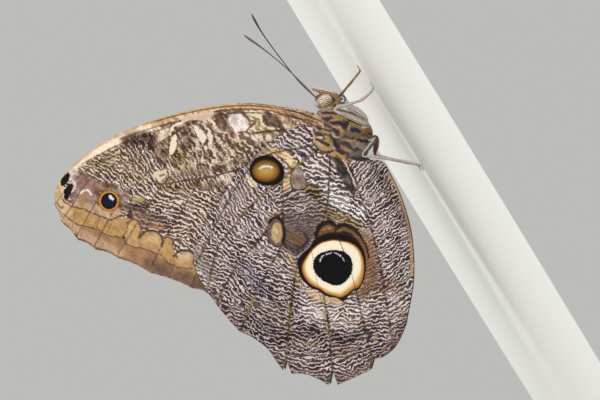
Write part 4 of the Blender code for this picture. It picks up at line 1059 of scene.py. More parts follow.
# Two lines edge the dark spindle of painted shade beside the body: a pale one on the vein at its side and a
# dark one beside that.
HIND_BLOTS = table("""
tan line across the wing: 305 160, 291 170, 283 180, 262 195, 247 208, 238 218 | 1.3 9c7f4c 0.75
pale line by the leading edge: 222 196, 230 180, 240 167, 256 151, 262 149 | 1.6 cbb28e 0.7
mauve brown of the small oval: 267.4 229, 270 221, 276 217, 282 219, 284 226, 284 238, 280 245.6, 274 245.6,
    269 240 | 0 6b5450 0.95
dark frame of the small oval: 269 223, 272 219.4, 276.6 217.6, 281 220, 283.4 227, 284 236,
    282.6 243 | 2.8 1d1411 0.97
thin frame of the small oval: 267 230, 267.6 237, 271.4 243.6, 277 246.6, 282 244 | 1.3 3a2a28 0.9
pale tan oval: 271.6 232, 273 226, 276.4 222.4, 280 224, 282 229, 282.2 236, 280.2 241.8, 277 243.8,
    273.8 241.2, 272 237 | 0 b49668 0.97
pale left of the oval: 274 226, 273.4 233, 275 239 | 1.8 c9b084 0.8
rust blotch: 289 238, 293 235.6, 296.4 238, 294.6 242 | 4 70502e 0.85
rust blotch 2: 299.6 238, 300.4 245 | 4 6c4826 0.85
dark of the fan: 305 234, 308 240, 303 246 | 3.4 32251f 0.8
thin pale line: 322.6 222.6, 317 232.2, 312.2 243.4, 308.2 248.2, 297.8 257 | 1.3 aca1a6 0.9
dark under the arcs: 314 238, 318 229, 323 224, 331 222, 336.5 227, 343 225, 352 229, 360 237, 366 248,
    368 258, 362 252, 352 238, 335 234, 322 238 | 0 1f1412 0.97
dark arc above it: 315.4 235, 318 228, 322 223.6, 327 221.8, 332 222, 336.4 227, 341 224.4, 348 226,
    355 230.6, 361 238, 365.6 247, 368 257 | 3.4 1f1412 0.97
orange brown above the great eyespot: 318 237, 320 229.6, 325 225.6, 331 225, 335.4 229.6, 333 233,
    325 234 | 0 6e4726 0.95
its brighter middle: 323 230, 328 227.6, 331.4 228.6 | 2.6 8a5f34 0.8
orange brown arc: 338 231.4, 344 229, 351 231.6, 357.4 237.4, 363 246, 366 255 | 3.4 74502e 0.95
thin brown outer arc: 366 254, 367.4 264, 366.6 274, 363 285 | 1.8 80583a 0.85
dark arc of the amber eyespot: 280 158, 287 164, 292 170 | 1.8 3a2920 0.85
left edge of the taupe field: 294 168, 291 176, 292 188, 299 190 | 1.6 3a2a24 0.85
small ring: oval 300 208 5 3.2 | 1.2 d9c9cf 0.85
pale edge of the velvet: 343 159, 349 171, 356 186 | 1.3 d9ccc4 0.9
dark edge of the velvet: 345 159, 351 171, 358 187 | 1.2 3a2c20 0.8
tan edge of the fold: 388 173.6, 396.6 188, 403 206, 408.6 228, 411.6 250, 411.6 275 | 2.6 b08d68 0.9
dark edge of the notch: 371.6 359, 370.6 368 | 1.6 4a3626 0.8
dark edge of the corner: 383 355, 391 350, 396 343 | 1.2 4a3626 0.7
cream spot near the tail: 375 332, 378.6 335, 377 340, 374 342, 373 338 | 0 b99a7c 0.35
blue black beside the spot: 365 331, 370 334, 368 341 | 3.4 28232c 0.85
blue black above the spot: 372 328, 377 329 | 1.8 2a2436 0.85
purple smear of the root: 318 124, 324 126, 331 129.5 | 4.4 5a4250 0.9
pale fleck of the root: 322 131, 328 133.5 | 3 b59c7a 0.9
dark line of the root: 327 135.5, 332 138.5 | 3 37262a 0.9
black green of the root: 333 140, 336 144, 338 148 | 5 23251f 0.95
lilac fleck of the root: 331.5 146, 334 148.5 | 2.4 9a8f98 0.9
dark purple of the root: 338 150, 343 153 | 4.4 33202c 0.9
golden band of the root: 331 151.4, 337 153.4, 342 157, 347 162 | 2.6 b08a58 0.95
raised oval: 313.5 136, 317 132.4, 322 133, 327 136.5, 331 142, 331 149, 327 151.3, 321 149,
    315.5 144.5 | 0 a5825c 0.97
its pale edge: 312.6 131, 313.4 137, 314.6 142 | 1.8 c2a48e 0.9
its dark top: 316 134, 320 134.6, 324 138 | 4.2 4a3a3c 0.95
its white fleck: 317.4 137.8, 321.4 137.6 | 1.9 cdbfc2 0.9
its pink middle: 316 142, 321 146.2, 326 148.6 | 3 c6a07e 0.9
its brown stripe: 316.6 139.6, 321 141.4, 328 145.4 | 3.6 51362a 0.93
its olive end: 325 136.8, 329 139.6, 330 143.4 | 2.4 ac9a5c 0.9
its orange tip: 324 148.2, 328 149.6 | 2.4 bd8a54 0.9
its outline: 313.6 145, 318 149, 323 151.8, 329 152.6, 332.6 150.4 | 1.8 40302a 0.95
its upper outline: 315 131.6, 320 131.2, 326 134, 331.4 139.4, 332.8 146 | 1.4 8a7350 0.85
""")
HIND_EYESPOTS = [
    ("great", [numbers(text) for text in (
        """297 260, 298 270, 300 277, 305 283, 311 288, 319 291, 326 296, 334 297.5, 339 299, 343 302, 347 298,
        352 292, 359 289, 363 282, 365.5 272, 366 261, 364 251, 359 242, 352 235.5, 344 232.5, 334 231.5,
        326 232.5, 318 236, 313 240, 309 247, 302 253""",
        """302 266, 303 274, 308 282, 314 286.5, 320 289, 326 293.5, 334 296, 341 297.5, 347.6 294,
        353.6 289.4, 360 286, 363.6 276, 364.2 265, 362.4 256, 358.4 248.6, 353 244.4, 347 242, 340 241,
        334 240.2, 328 241, 321 243, 315 247, 311 251, 306 258""",
        """306 265, 307.4 272, 311.6 278.4, 317.6 283.2, 323.4 287, 329 289.8, 335 291.4, 340 291.6, 344 289,
        349 284.6, 354 279.6, 358 273.6, 360 267, 359.8 260, 357.6 252.8, 352.8 246.8, 346.5 243.4, 340 242,
        334 241, 327 242, 321 244.2, 315.5 248.5, 311.5 253, 308 259""",
        """313 265, 314.5 258.5, 319 254, 326 251.3, 334 250, 341.5 250.8, 347 253.5, 351 258.5, 352.6 264.5,
        352 271, 349.5 277, 345 282, 339.5 285, 333.5 285.3, 327.5 283, 322 280, 317 275.5, 313.8 270""")]),
    ("amber", [numbers("""
        249.6 167, 255.4 158, 268 154.6, 279 160, 284.6 170, 283.4 179.4, 276.6 185, 265 185.8, 256 182.6,
        250.4 176"""), oval(265.8, 171, 13.8, 10.8)]),
]
HIND_GLINTS = table("""
left glint: 319.4 261.4, 321.2 258, 324 255.6 | 1.2
upper glint: 326 254.6, 329 253.4, 332 252.8 | 1
upper glint 2: 334.5 252.8, 338 254, 341 256.4 | 1
right glint: 342.6 258, 344.4 261.5 | 0.7
glint of the amber eyespot: 260 168.6, 263 166.6, 270 166.6, 272 168 | 2
glint of the small oval: 275.6 229, 277 233 | 1.2
""")
HIND_OVER = table("""
vein over the great eyespot: 311 247, 316 276, 321.6 304 | 0.9
second vein over it: 334.6 229, 344 252, 351 271, 358.8 302 | 0.9
""")
print(len(FORE_WASHES + HIND_WASHES), "washes,", len(FORE_BLOTS + HIND_BLOTS), "blots")

# %% [markdown]
# ## The upper faces
# The upper faces lie against each other now, and only a strip shows from above. They are painted all the
# same: warm brown, darker at the margin, with a violet blue shine near the body and a dull yellow band before
# the forewing's margin.


# %% Values for the inner faces, and the four wings
def upper_face(plan, margin, forewing):
    """Brown with a blue base; the forewing has a yellow band 4 to 9 mm inside its margin."""
    reach = np.linalg.norm(plan - WING_ROOT, axis=1) / WING_REACH
    tone = flat_tone("54392a", len(plan))
    tone = toward(tone, "3b4a7c", 0.75 * (1.0 - smooth01((reach - 0.15) / 0.55)))
    if forewing:
        band = smooth01((margin - 4.0) / 1.5) * (1.0 - smooth01((margin - 9.0) / 3.0))
        tone = toward(tone, "b08a4e", 0.7 * band)
    return toward(tone, "5a4030", 0.7 * (1.0 - smooth01(margin / 4.0)))


FORE_VEIN_WASH = (0.2, "6a4d34", "402c1e", 0.1, 0.9, 0.65)
HIND_VEIN_WASH = (0.3, "6c5a32", "33281a", -0.1, 0.7, 0.75)


def make_wing(label, side, plan, lift, paint, material, upper, raised=None):
    """One wing: its shell, its painted values on the outer face, and the upper face's tones inside."""
    points, faces, uv = wing_shell(plan, lift, side, raised)
    rows, columns = plan.shape[:2]
    values = {}
    for key, outer in paint.items():
        inner = upper if key in ("pale", "dark") else outer
        if key in ("cover", "glint", "over", "great", "amber", "small"):
            inner = np.full(len(outer), -FAR)
        thinned = inner.reshape(rows, columns, -1)[::2, ::2].reshape((-1,) + outer.shape[1:])
        values[key] = np.concatenate([outer, thinned])
    name = sided(label, side)
    return piece(name + "_scales", points, faces, material, uv, [name], values)


FORE_WING = (FORE_GROUND, FORE_COMB, FORE_WASHES, FORE_BLOTS, FORE_EYESPOTS, FORE_GLINTS, FORE_OVER)
HIND_WING = (HIND_GROUND, HIND_COMB, HIND_WASHES, HIND_BLOTS, HIND_EYESPOTS, HIND_GLINTS, HIND_OVER)
fore_flat, hind_flat = FORE_PLAN.reshape(-1, 2), HIND_PLAN.reshape(-1, 2)
fore_paint = painted(fore_flat, FORE_WING, FORE_VEINS, FORE_VEIN_WASH)
hind_paint = painted(hind_flat, HIND_WING, HIND_VEINS, HIND_VEIN_WASH)
fore_upper = upper_face(fore_flat, line_distance(fore_flat, FORE_PLAN[-1]), True)
hind_upper = upper_face(hind_flat, line_distance(hind_flat, HIND_PLAN[-1]), False)
for side in (RIGHT, LEFT):
    make_wing("forewing", side, FORE_PLAN, fore_lift, fore_paint, FORE_SCALES, fore_upper)
    make_wing("hindwing", side, HIND_PLAN, hind_lift, hind_paint, HIND_SCALES, hind_upper, lobe_rise)

# %% [markdown]
# ## Veins
# Veins are hollow rods of chitin that stiffen the membrane, and they stand a little proud of both faces. A
# thin tube on each measured route does that. It reads the same paint as the wing, with a browner wash.


# %% Vein rods of the four wings
def make_veins(label, side, veins, lift, wing, vein_wash, material):
    """Round tubes on the wing's middle surface, 0.5 mm thick at the root and 0.34 mm at the margin."""
    parts, plans = [], []
    for route in veins.values():
        plan = evenly(smooth_path(route), 90)
        reach = np.linalg.norm(plan - WING_ROOT, axis=1) / WING_REACH
        radius = 0.25 - 0.08 * np.clip(reach, 0.0, 1.0)
        radius[:4] *= np.linspace(0.3, 1.0, 4)
        radius[-4:] *= np.linspace(1.0, 0.3, 4)
        parts.append(tube(standing(plan, lift, side), radius, 8))
        plans.append(np.vstack([np.repeat(plan, 8, axis=0), plan[:1], plan[-1:]]))
    points, faces, way, angle = joined(parts)
    values = painted(np.vstack(plans), wing, veins, (1.0,) + vein_wash[1:5] + (0.75,))
    uv = np.column_stack([way, angle / (2 * np.pi)])
    return piece(sided(label, side) + "_veins", points, faces, material, uv, (), values)


for side in (RIGHT, LEFT):
    make_veins("forewing", side, FORE_VEINS, fore_lift, FORE_WING, FORE_VEIN_WASH, FORE_SCALES)
    make_veins("hindwing", side, HIND_VEINS, hind_lift, HIND_WING, HIND_VEIN_WASH, HIND_SCALES)

# %% [markdown]
# ## One skin for head, thorax and abdomen
# An insect's body is a jointed case, and under its coat no seam shows. One loft through oval stations gives
# head, neck, the deep thorax, the waist and the seven rings of the abdomen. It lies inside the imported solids
# by the depth of the coat. A station is x, z, half height, half width, and the lean of its upper end towards
# the head in degrees.

# %% Body skin as a function of the way along and the angle round
SKIN_STATIONS = numbers("""
    7.35 13.5 0.25 0.25 0, 7 13.35 1.4 1.1 0, 5.9 13.2 2.4 1.85 8, 4.6 13.35 2.7 2.05 18, 3.6 13.5 2.5 1.9 26,
    2.7 13.65 2.3 1.85 30, 1.2 13.4 3.8 3 22, -1.6 13 5.1 3.85 12, -5 12.75 6.2 4.4 0, -8.6 12.65 6.5 4.3 -5,
    -11.6 12.75 5.4 3.6 -10, -13.5 13.1 3.1 2.4 -10, -14.6 13.2 1.9 1.6 -10""")


def abdomen_stations():
    """Seven rings, each fuller in its middle, narrowing to the tail."""
    t = np.linspace(0.04, 1.0, 43)
    closing = np.sqrt(np.maximum(0.004, 1.0 - (np.maximum(0.0, t - 0.45) / 0.56)**2))
    body = np.minimum(1.0, 0.8 + 1.6 * t) * closing * (1.0 - 0.035 * (1.0 + np.cos(2 * np.pi * t * 7)))
    return np.column_stack([-14.15 - 20.05 * t, 13.2 + 1.1 * t, 2.45 * body, 1.95 * body, -10 * (1 - t)])


SKIN_COUNT, SKIN_SIDES = 260, 64
SKIN_ROWS = evenly(np.vstack([smooth_path(SKIN_STATIONS, 6), abdomen_stations()]), SKIN_COUNT)


def skin_point(way, angle):
    """Place at a share of the way from nose to tail, and an angle from the top of the station's leant oval."""
    x, z, high, wide, tilt = sampled(SKIN_ROWS, np.clip(way, 0.0, 1.0) * (SKIN_COUNT - 1)).T
    up, lean = high * np.cos(angle), np.radians(tilt)
    return np.stack([x + up * np.sin(lean), wide * np.sin(angle), z + up * np.cos(lean)], axis=-1)


def skin_frame(way, angle):
    """Place, outward normal and direction towards the tail, from small steps on the skin."""
    h = 0.002
    here = skin_point(way, angle)
    back = unit(skin_point(way + h, angle) - skin_point(way - h, angle))
    out = unit(np.cross(skin_point(way, angle + h) - skin_point(way, angle - h), back))
    centre = skin_point(way, np.zeros_like(angle)) * 0.5 + skin_point(way, np.full_like(angle, np.pi)) * 0.5
    return here, out * np.sign((out * (here - centre)).sum(-1, keepdims=True) + 1e-9), back


print("skin from x", SKIN_ROWS[0, 0], "to", SKIN_ROWS[-1, 0].round(2))

# %% [markdown]
# ## Markings of the body
# The coat of the side is a quilt of ochre, rust, purple brown and blue black patches. The same recipe gives
# the colour of the skin and of each tuft, so they always agree.

# %% Body colours from listed patches
BODY_PATCHES = table("""
brown ochre side: 325 122, 345 132, 362 142 | 60 8f7355
brown back: 308 128, 318 150, 326 165 | 14 6b5140
grey brown belly: 350 154, 362 154, 372 150 | 8 77655a
chest: 344 106, 356 113, 366 122, 372 130 | 12 b49c8c
pink collar: 318 108.8, 325 109.6, 332 110.4 | 2.4 d6bcae
lilac pink of the neck: 316 111.4, 320 113 | 3.6 c2aaa8
dark neck: 322 112.2, 328 112, 334 113.6 | 2.2 46322a
dark neck line: 334 110, 340 112.6 | 1.8 4a3a30
tan spots of the shoulder: 322 114.8, 330 115 | 2.2 b8937a
purple brown shoulder: 319 117, 325 117.6, 329 117 | 2.8 3c2a32
dark flecks of the shoulder: 325 119.6, 331 118.6 | 2.6 46302c
grey shoulder: 318 120.2, 322 120.6 | 2.4 a59288
golden shoulder: 333 115.4, 338 116.4, 341 118 | 3.2 c49c60
tan stripe: 330 120, 335 118.8, 339 119.8 | 2 cfa670
red brown fleck: 342 120.4, 345 121 | 2.4 82403a
lower tan stripe: 347 118, 356 121, 364 127 | 7 ae8a62
green black band: 348 119, 354 121, 360 123.5, 365 127.5 | 4 26281e
golden line: 349 122.5, 353 125, 359 127, 364 130, 369 130 | 2.2 c09a5c
blue black band: 331 122.5, 337 122, 341 124, 344 126.5 | 3.8 262338
purple black: 343 124, 346 123, 346 128 | 4.2 2d2238
lilac sliver: 348.5 125, 347 129.5 | 1.8 d5b3a6
pinkish band: 330 125, 334 127, 339 127.5, 341 131 | 3.2 d6a684
olive line: 337 129, 341 132, 343 136 | 2.6 b3914c
purple smear: 320 123.6, 326 124.8, 330 126 | 3.4 563a4a
golden fleck: 322 127.4, 326 127, 328 128.4 | 2.2 c09762
purple smear 2: 325 129.6, 329 130, 332 131.6 | 2.8 5a3f4c
deep purple: 333 129, 336 131, 336.5 136 | 4.4 3e2238
pale olive patch: 324 131, 328 133, 332 133 | 3.8 b7a183
blue spot: 351.5 129, 355 129.5, 358 130.5 | 4.6 25213c
grey spot: 362 134, 366 134.5 | 3 5b4a40
rust patch: 366 130, 371 132, 374 136 | 6 a8653c
dark rust: 367 131.5, 371 133 | 2 5f2f22
golden line 2: 360 137.2, 366 137.8, 371 137.4 | 1.8 c49a58
dark line: 342 137, 345 135.4, 348 137.6, 353 137.8 | 2.2 3a2a18
pale pinkish line: 330 135, 334 135.6, 338 137 | 2 d0b29a
dark olive line: 328 136, 332 138, 337 138.6 | 3 3c2a24
pinkish tan line: 342 139.6, 350 140.2, 356 140.6 | 2.2 cb9f7c
black patch: 357 139.6, 362 140, 366 139.6, 371 138 | 3.4 221d1a
purple black patch: 342 142, 346 143.6, 349 146.4 | 4.2 2b1f30
brown black patch: 350 148.4, 354 149, 358 147 | 3.6 3a2a26
grey green spot: 351 143.6, 353 146 | 2.8 8f917c
pinkish grey patch: 357 143.6, 361 145.6, 365 147 | 6 b3958a
dark small spot: 338 143, 342 145.6 | 2.6 2f2024
pinkish small spot: 344 148.6, 349 150.4 | 2.4 c49f88
golden line 3: 339 144.6, 344 147.4, 351 151 | 2.2 bd9a62
black green patch: 333 141, 336 144, 337 147 | 5 23251f
lilac grey fleck: 331.5 146.6, 334 148 | 2.4 9a8f98
dark purple patch: 338 150, 343 152, 346 154 | 4.6 33202c
tan hind band: 331 151.6, 337 153.6, 342 157, 345 161 | 2.6 b5905e
dark stripe of the belly: 351 157.6, 357 157.4, 362 156.6 | 2.4 31231c
grey brown stripe: 349 154.6, 356 153.6, 362 152 | 3 8e7768
tan face: 316 93, 330 94, 334 100, 333 106 | 10 b98c5e
lilac white brow: 314 99, 314.6 103, 316 107 | 4.4 ddcbd6
dark spot of the brow: 317.6 104.6, 318.2 106.6 | 1.6 3a2620
pale collar: 317 107.4, 322 108, 328 107.8, 333 106.2 | 1.8 f0dfca
cheek: 334 100, 339 101, 342 103 | 8 b1905f
golden cheek: 336 99, 336.4 105 | 3.4 c6a172
pale cheek: 338.4 96.6, 340 102 | 2.8 e9d4b6
brown line by the eye: 331 94.6, 334 97.6, 335 101, 334.4 105.6 | 1.5 5a3822
brown line of the face: 338 94.6, 341 98, 341.6 102 | 1.4 6e4a30
dark cheek line: 333 106.6, 338 106.4, 342 105 | 1.8 40281c
""")


def body_colour(points):
    """Colour at places on the body: ochre at first, then each patch over the one before it."""
    plan = wobbled(points[:, [0, 2]], (1.6, 1.5), 11, 0.1)
    tone = flat_tone("7d6650", len(plan))
    for _, route, width, tint in BODY_PATCHES:
        tone = toward(tone, tint, smooth01(depth(plan, route, width) / 0.25 + 0.5))
    return toward(tone, "6b5a4b", smooth01((-12.0 - points[:, 0]) / 2.0))


def skin_material():
    """The insect's case under its scales: dull, mottled, in the coat's own colours but darker."""
    m = Recipe("cuticle_under_scales")
    mottle = m.noise(node(m.material, "TexCoord").outputs["Object"], 4000.0, 3.0)
    tone = m.mix(1.0, m.read("coat", "Color"), m.ranged(mottle, 0.3, 0.7, 0.4, 0.9), blend_type="MULTIPLY")
    return m.finish(tone, mottle, 0.5, 0.0001, Roughness=0.7)


def coat_material():
    """Hair-like scales of the body: dull at the root and lighter at the tip, with a soft sheen."""
    m = Recipe("body_coat_scales")
    shade = m.ranged(m.read("tip"), 0.0, 1.0, 0.8, 1.4)
    tone = m.mix(1.0, m.read("coat", "Color"), shade, blend_type="MULTIPLY")
    return m.finish(tone, Roughness=0.6, Sheen_Weight=0.2)


BODY_SKIN, BODY_COAT = skin_material(), coat_material()


def bake_places(way, angle):
    """Bake map of a tube or loft: the way along and the angle round, clear of the map's edge."""
    return np.column_stack([way, angle / (2 * np.pi)]) * 0.98 + 0.01


def make_skin():
    """The skin's grid, closed at nose and tail."""
    way, angle = np.meshgrid(np.linspace(0, 1, SKIN_COUNT), around(SKIN_SIDES), indexing="ij")
    points = skin_point(way.ravel(), angle.ravel())
    points = np.vstack([points, points[:SKIN_SIDES].mean(axis=0), points[-SKIN_SIDES:].mean(axis=0)])
    uv = bake_places(np.append(way, [0, 1]), np.append(angle, [np.pi, np.pi]))
    return piece("body_skin", points, facing_out(points, closed_faces(SKIN_COUNT, SKIN_SIDES)), BODY_SKIN, uv,
                 ["head", "thorax", "abdomen"], {"coat": body_colour(points)})


make_skin()

# %% [markdown]
# ## The coat
# Particle hair would be lost when the model is exported, so each tuft is a real closed spike with a bend in
# it. The tufts are sown at random over the skin and lie back towards the tail. They are short on the face and
# long on the thorax, and each takes the body's colour at its root.


# %% Tufts sown over a surface
def make_tufts(name, root, out, lie, sizes, uv, tone, lowest=None):
    """A piece of closed three-sided spikes: a ring in the skin, a ring half way, and a tip.

    sizes are length, width and rise. The first half leaves along lie + rise * out, and the second half along
    lie + 0.3 * rise * out. No point goes below the height lowest.
    """
    length, width, rise = [size[:, None] for size in sizes]
    first, second = unit(lie + out * rise), unit(lie + out * (0.3 * rise))
    across = unit(np.cross(first, out))
    over = np.cross(across, first)
    half = first * (0.5 * length)
    middle = root + half
    corner = [across, -0.5 * across + 0.6 * over, -0.5 * across - 0.6 * over]
    low = [root - 0.25 * half + c * (0.5 * width) for c in corner]
    mid = [middle + c * (0.42 * width) for c in corner]
    points = np.stack(low + mid + [middle + second * (0.5 * length)], axis=1).reshape(-1, 3)
    base = 7 * np.arange(len(root))[:, None]
    quads = np.vstack([base + np.array([[a, b, b + 3, a + 3]]) for a, b in ((0, 1), (1, 2), (2, 0))])
    triangles = np.vstack([base + np.array([ends]) for ends in ((0, 2, 1), (3, 4, 6), (4, 5, 6), (5, 3, 6))])
    if volume_sign(points[:7], [quads[::len(root)], triangles[::len(root)]]) < 0:
        quads, triangles = quads[:, ::-1], triangles[:, ::-1]
    patch = np.array([(-1, -1), (1, -1), (0, -1), (-1, 0.3), (1, 0.3), (0, 0.3), (0, 1)]) * 0.0015
    spread = (np.asarray(uv)[:, None] + patch[None]).reshape(-1, 2)
    values = {"coat": np.repeat(tone, 7, axis=0), "tip": np.tile([0, 0, 0, 0.55, 0.55, 0.55, 1.0], len(root))}
    if lowest is not None:
        points[:, 2] = np.maximum(points[:, 2], lowest)
    return piece(name, points, [quads, triangles], BODY_COAT, spread, (), values)


def varied(draw, tone, amount):
    """Colours made a little lighter or darker at random, one by one."""
    tone = np.clip(tone * (1.0 + draw.normal(0, amount, (len(tone), 1))), 0.002, 1.0)
    tone[:, 3] = 1.0
    return tone


def sow(count, low, high, seed, keep=None):
    """Ways and angles of random places on the skin, evenly by area between two shares of its length."""
    draw = np.random.default_rng(seed)
    way = draw.uniform(low, high, count * 4)
    angle = draw.uniform(0, 2 * np.pi, count * 4)
    girth = np.interp(way * (SKIN_COUNT - 1), np.arange(SKIN_COUNT), SKIN_ROWS[:, 2] + SKIN_ROWS[:, 3])
    good = draw.uniform(0, 1, len(way)) < girth / girth.max()
    if keep is not None:
        good &= keep(skin_point(way, angle))
    return way[good][:count], angle[good][:count]


def share_at(x):
    """Share of the way along the skin where its stations pass an x."""
    return float(np.interp(-x, -SKIN_ROWS[:, 0], np.linspace(0, 1, SKIN_COUNT)))


def clear_of_eyes(points):
    """True for places outside both eyes."""
    place = np.column_stack([points[:, 0], np.abs(points[:, 1]), points[:, 2]])
    return (((place - EYE_CENTRE) / EYE_RADII)**2).sum(1) > 1.05


def make_coat(name, count, x_from, x_to, length, width, rise, seed, keep=None):
    """A stretch of coat: tufts lie towards the tail with a little droop, and vary in length and lean."""
    draw = np.random.default_rng(seed)
    way, angle = sow(count, share_at(x_from), share_at(x_to), seed + 1, keep)
    root, out, back = skin_frame(way, angle)
    lie = back + (0.0, 0.0, -0.25) + draw.normal(0, 0.16, root.shape)
    lie = unit(lie - out * (lie * out).sum(1)[:, None])
    tone = varied(draw, body_colour(root), 0.13)
    sizes = [draw.uniform(*limits, len(root)) for limits in (length, width, rise)]
    return make_tufts(name, root, out, lie, sizes, bake_places(way, angle), tone)


THORAX_COAT = (17000, 2.2, -13.6, (0.45, 0.85), (0.10, 0.16), (0.1, 0.45))
make_coat("coat_thorax_right", *THORAX_COAT, 21, lambda places: places[:, 1] < 0)
make_coat("coat_thorax_left", *THORAX_COAT, 22, lambda places: places[:, 1] >= 0)
make_coat("coat_head", 7000, 7.3, 2.2, (0.35, 0.7), (0.06, 0.1), (0.3, 0.8), 31, clear_of_eyes)
make_coat("coat_abdomen", 7000, -14.0, -34.0, (0.5, 0.9), (0.10, 0.16), (0.1, 0.35), 41)

# %% [markdown]
# ## Fringe
# A wing's margin ends in a row of longer scales. They hide the cut edge of the membrane, so the outline is
# soft from near by.


# %% Fringe scales along the outer margins
def make_fringe(label, side, plan, lift, dark, pale, seed):
    """Flat spikes 0.25 to 0.45 mm long that leave the outer margin in the wing's own plane."""
    draw = np.random.default_rng(seed)
    edge, inside = plan[-1], plan[-4]
    count = int(np.linalg.norm(np.diff(edge, axis=0), axis=1).sum() / 0.04)
    at = draw.uniform(0, len(edge) - 1, count)
    place = sampled(edge, at)
    away = unit(place - sampled(inside, at))
    root, ahead = [standing(place + step * away, lift, side) for step in (-0.12, 0.4)]
    root[:, 1] += draw.uniform(-0.06, 0.08, count) * side
    lie = unit(ahead - root + draw.normal(0, 0.05, root.shape))
    share = 0.5 + 0.5 * drift(place, 2.5, seed) + draw.normal(0, 0.2, count)
    tone = toward(flat_tone(dark, count), pale, np.clip(share, 0.0, 1.0))
    uv = np.column_stack([np.full(count, 0.985), at / (len(edge) - 1) * 0.48 + 0.01])
    out = np.tile([0.0, float(side), 0.0], (count, 1))
    sizes = draw.uniform(0.25, 0.45, count), draw.uniform(0.07, 0.11, count), np.full(count, 0.05)
    return make_tufts(sided(label, side) + "_fringe", root, out, lie, sizes, uv, tone)


for side in (RIGHT, LEFT):
    make_fringe("forewing", side, FORE_PLAN, fore_lift, "6b4d38", "a98a66", 81)
    make_fringe("hindwing", side, HIND_PLAN, hind_lift, "4a3631", "a38d84", 82)

# %% [markdown]
# ## Eyes
# A compound eye is a dome of thousands of lenses behind a clear, smooth layer, so it shines like a bead. This
# one is cream with curved olive brown stripes, with a painted highlight at its top and painted shade on its
# lower stripes. The stripes run on the plan coordinates of the head.


# %% Two striped eyes
def eye_material():
    """Chitin lenses: cream with curved brown stripes, a fine pit for each lens and a glossy coat. A painted
    highlight pales the top, and painted shade darkens the stripes lower down.
    """
    m = Recipe("compound_eye_lenses")
    place = m.read("dome", "Vector")
    up = node(m.material, "SeparateXYZ", {0: place}).outputs["X"]
    face = m.vector("MULTIPLY", place, (1.0, 1.0, 0.0))
    away = m.vector("DISTANCE", face, (-1.6, -0.15, 0.0), output="Value")
    line = m.maths("MULTIPLY_ADD", m.noise(place, 2.2, 1.0), 0.5, away)
    wave = m.maths("SINE", m.maths("MULTIPLY", line, 23.0))
    # Painted shade: the stripes grow darker and wider towards the bottom of the eye as it is seen.
    level = m.maths("ADD", wave, m.ranged(up, -0.9, 0.8, -0.95, 0.6))
    # Painted highlight: the cream pales to pinkish white towards the top of the eye as it is seen.
    cream = m.mix(m.ranged(up, -0.5, 0.5), colour("d0bb8c"), colour("f0e2d8"))
    tone = m.mix(m.ranged(level, -1.1, 0.9, kind="SMOOTHSTEP"), colour("5f4c24"), cream)
    lens = node(m.material, "TexVoronoi", {"Vector": place, "Scale": 22.0}).outputs["Distance"]
    return m.finish(tone, lens, 0.15, 0.00004, Roughness=0.28, IOR=CHITIN_IOR, Coat_Weight=0.7,
                    Coat_Roughness=0.08)


def make_eye(side, rings=40, sides=64):
    """A dome of rings between two poles that point sideways. The stripes read its places as pictured."""
    polar, turn = np.meshgrid(np.linspace(0, np.pi, rings + 2)[1:-1], around(sides), indexing="ij")
    dome = np.stack([np.sin(polar) * np.cos(turn), np.cos(polar), np.sin(polar) * np.sin(turn)], axis=-1)
    dome = np.vstack([dome.reshape(-1, 3), [[0, 1, 0], [0, -1, 0]]])
    points = dome * EYE_RADII * 0.99 + EYE_CENTRE * (1, side, 1)
    x, y, z = dome.T
    seen = np.column_stack([x * COS - z * SIN, -x * SIN - z * COS, y])
    uv = dome[:, [0, 2]] * 0.22 + np.where(dome[:, 1:2] > 0, (0.25, 0.5), (0.75, 0.5))
    name, faces = sided("eye", side), facing_out(points, closed_faces(rings, sides))
    return piece(name + "_lenses", points, faces, EYE_LENSES, uv, [name], {"dome": seen})


EYE_LENSES = eye_material()
for side in (RIGHT, LEFT):
    make_eye(side)

# %% [markdown]
# ## Feelers, palps and tongue
# A butterfly's feeler is a thread of short joints that ends in a club. The two palps are furry snouts held up
# before the face, and the tongue is coiled like a watch spring between them. A place of a route is x, the
# distance from the middle, z and the radius.


# %% Feelers with rings, furry palps and the coiled tongue
ANTENNA_RIGHT = numbers("""
    5.6 0.9 14.2 0.3, 7.1 1.3 14.8 0.2, 12.7 3 16.1 0.17, 18.2 4.7 17.6 0.16, 23.5 6.4 19.4 0.17,
    27.3 7.6 20.9 0.26, 30 8.4 22.1 0.33, 31.7 8.9 22.8 0.12""")
ANTENNA_LEFT = numbers("""
    5.6 0.9 14.2 0.3, 7.1 1.3 14.8 0.2, 12.7 2.8 16.3 0.17, 17.1 4 16.9 0.16, 24 5.8 17.6 0.17, 30 7.2 18 0.2,
    34.4 8.1 17.9 0.33, 36.3 8.5 17.7 0.12""")


def ringed_material(name, dark, pale, beats, share, rough):
    """A jointed rod: bands along the "way" attribute, so many to the whole length, with a fine grain."""
    m = Recipe(name)
    grain = m.noise(node(m.material, "TexCoord").outputs["Object"], 5000.0, 2.0)
    wave = m.maths("SINE", m.maths("MULTIPLY", m.read("way"), beats * 2 * math.pi))
    band = m.ranged(m.maths("MULTIPLY_ADD", grain, 0.8, wave), share, share + 0.5)
    tone = m.mix(band, colour(dark), colour(pale))
    return m.finish(tone, wave, 0.4, 0.00004, Roughness=rough, IOR=CHITIN_IOR)


FEELER_NEAR = ringed_material("feeler_chitin_brown", "5a4030", "8b6a50", 60, 0.9, 0.5)
FEELER_FAR = ringed_material("feeler_chitin_black", "1d1512", "4a382e", 60, 1.1, 0.45)
TONGUE = ringed_material("tongue_chitin", "3d3635", "8a7f78", 70, 0.7, 0.35)


def route_rows(route, side, count, per_span=8):
    """Evenly spaced places of a route, with their radii."""
    rows = evenly(smooth_path(route, per_span), count)
    return rows[:, :3] * (1, side, 1), rows[:, 3]


def make_rod(name, route, side, count, sides, material, replaced):
    """A tube on a route, with its way as a value."""
    path, radius = route_rows(route, side, count)
    points, faces, way, angle = tube(path, radius, sides)
    uv = np.column_stack([way, angle / (2 * np.pi)])
    return piece(name, points, faces, material, uv, [replaced], {"way": way})


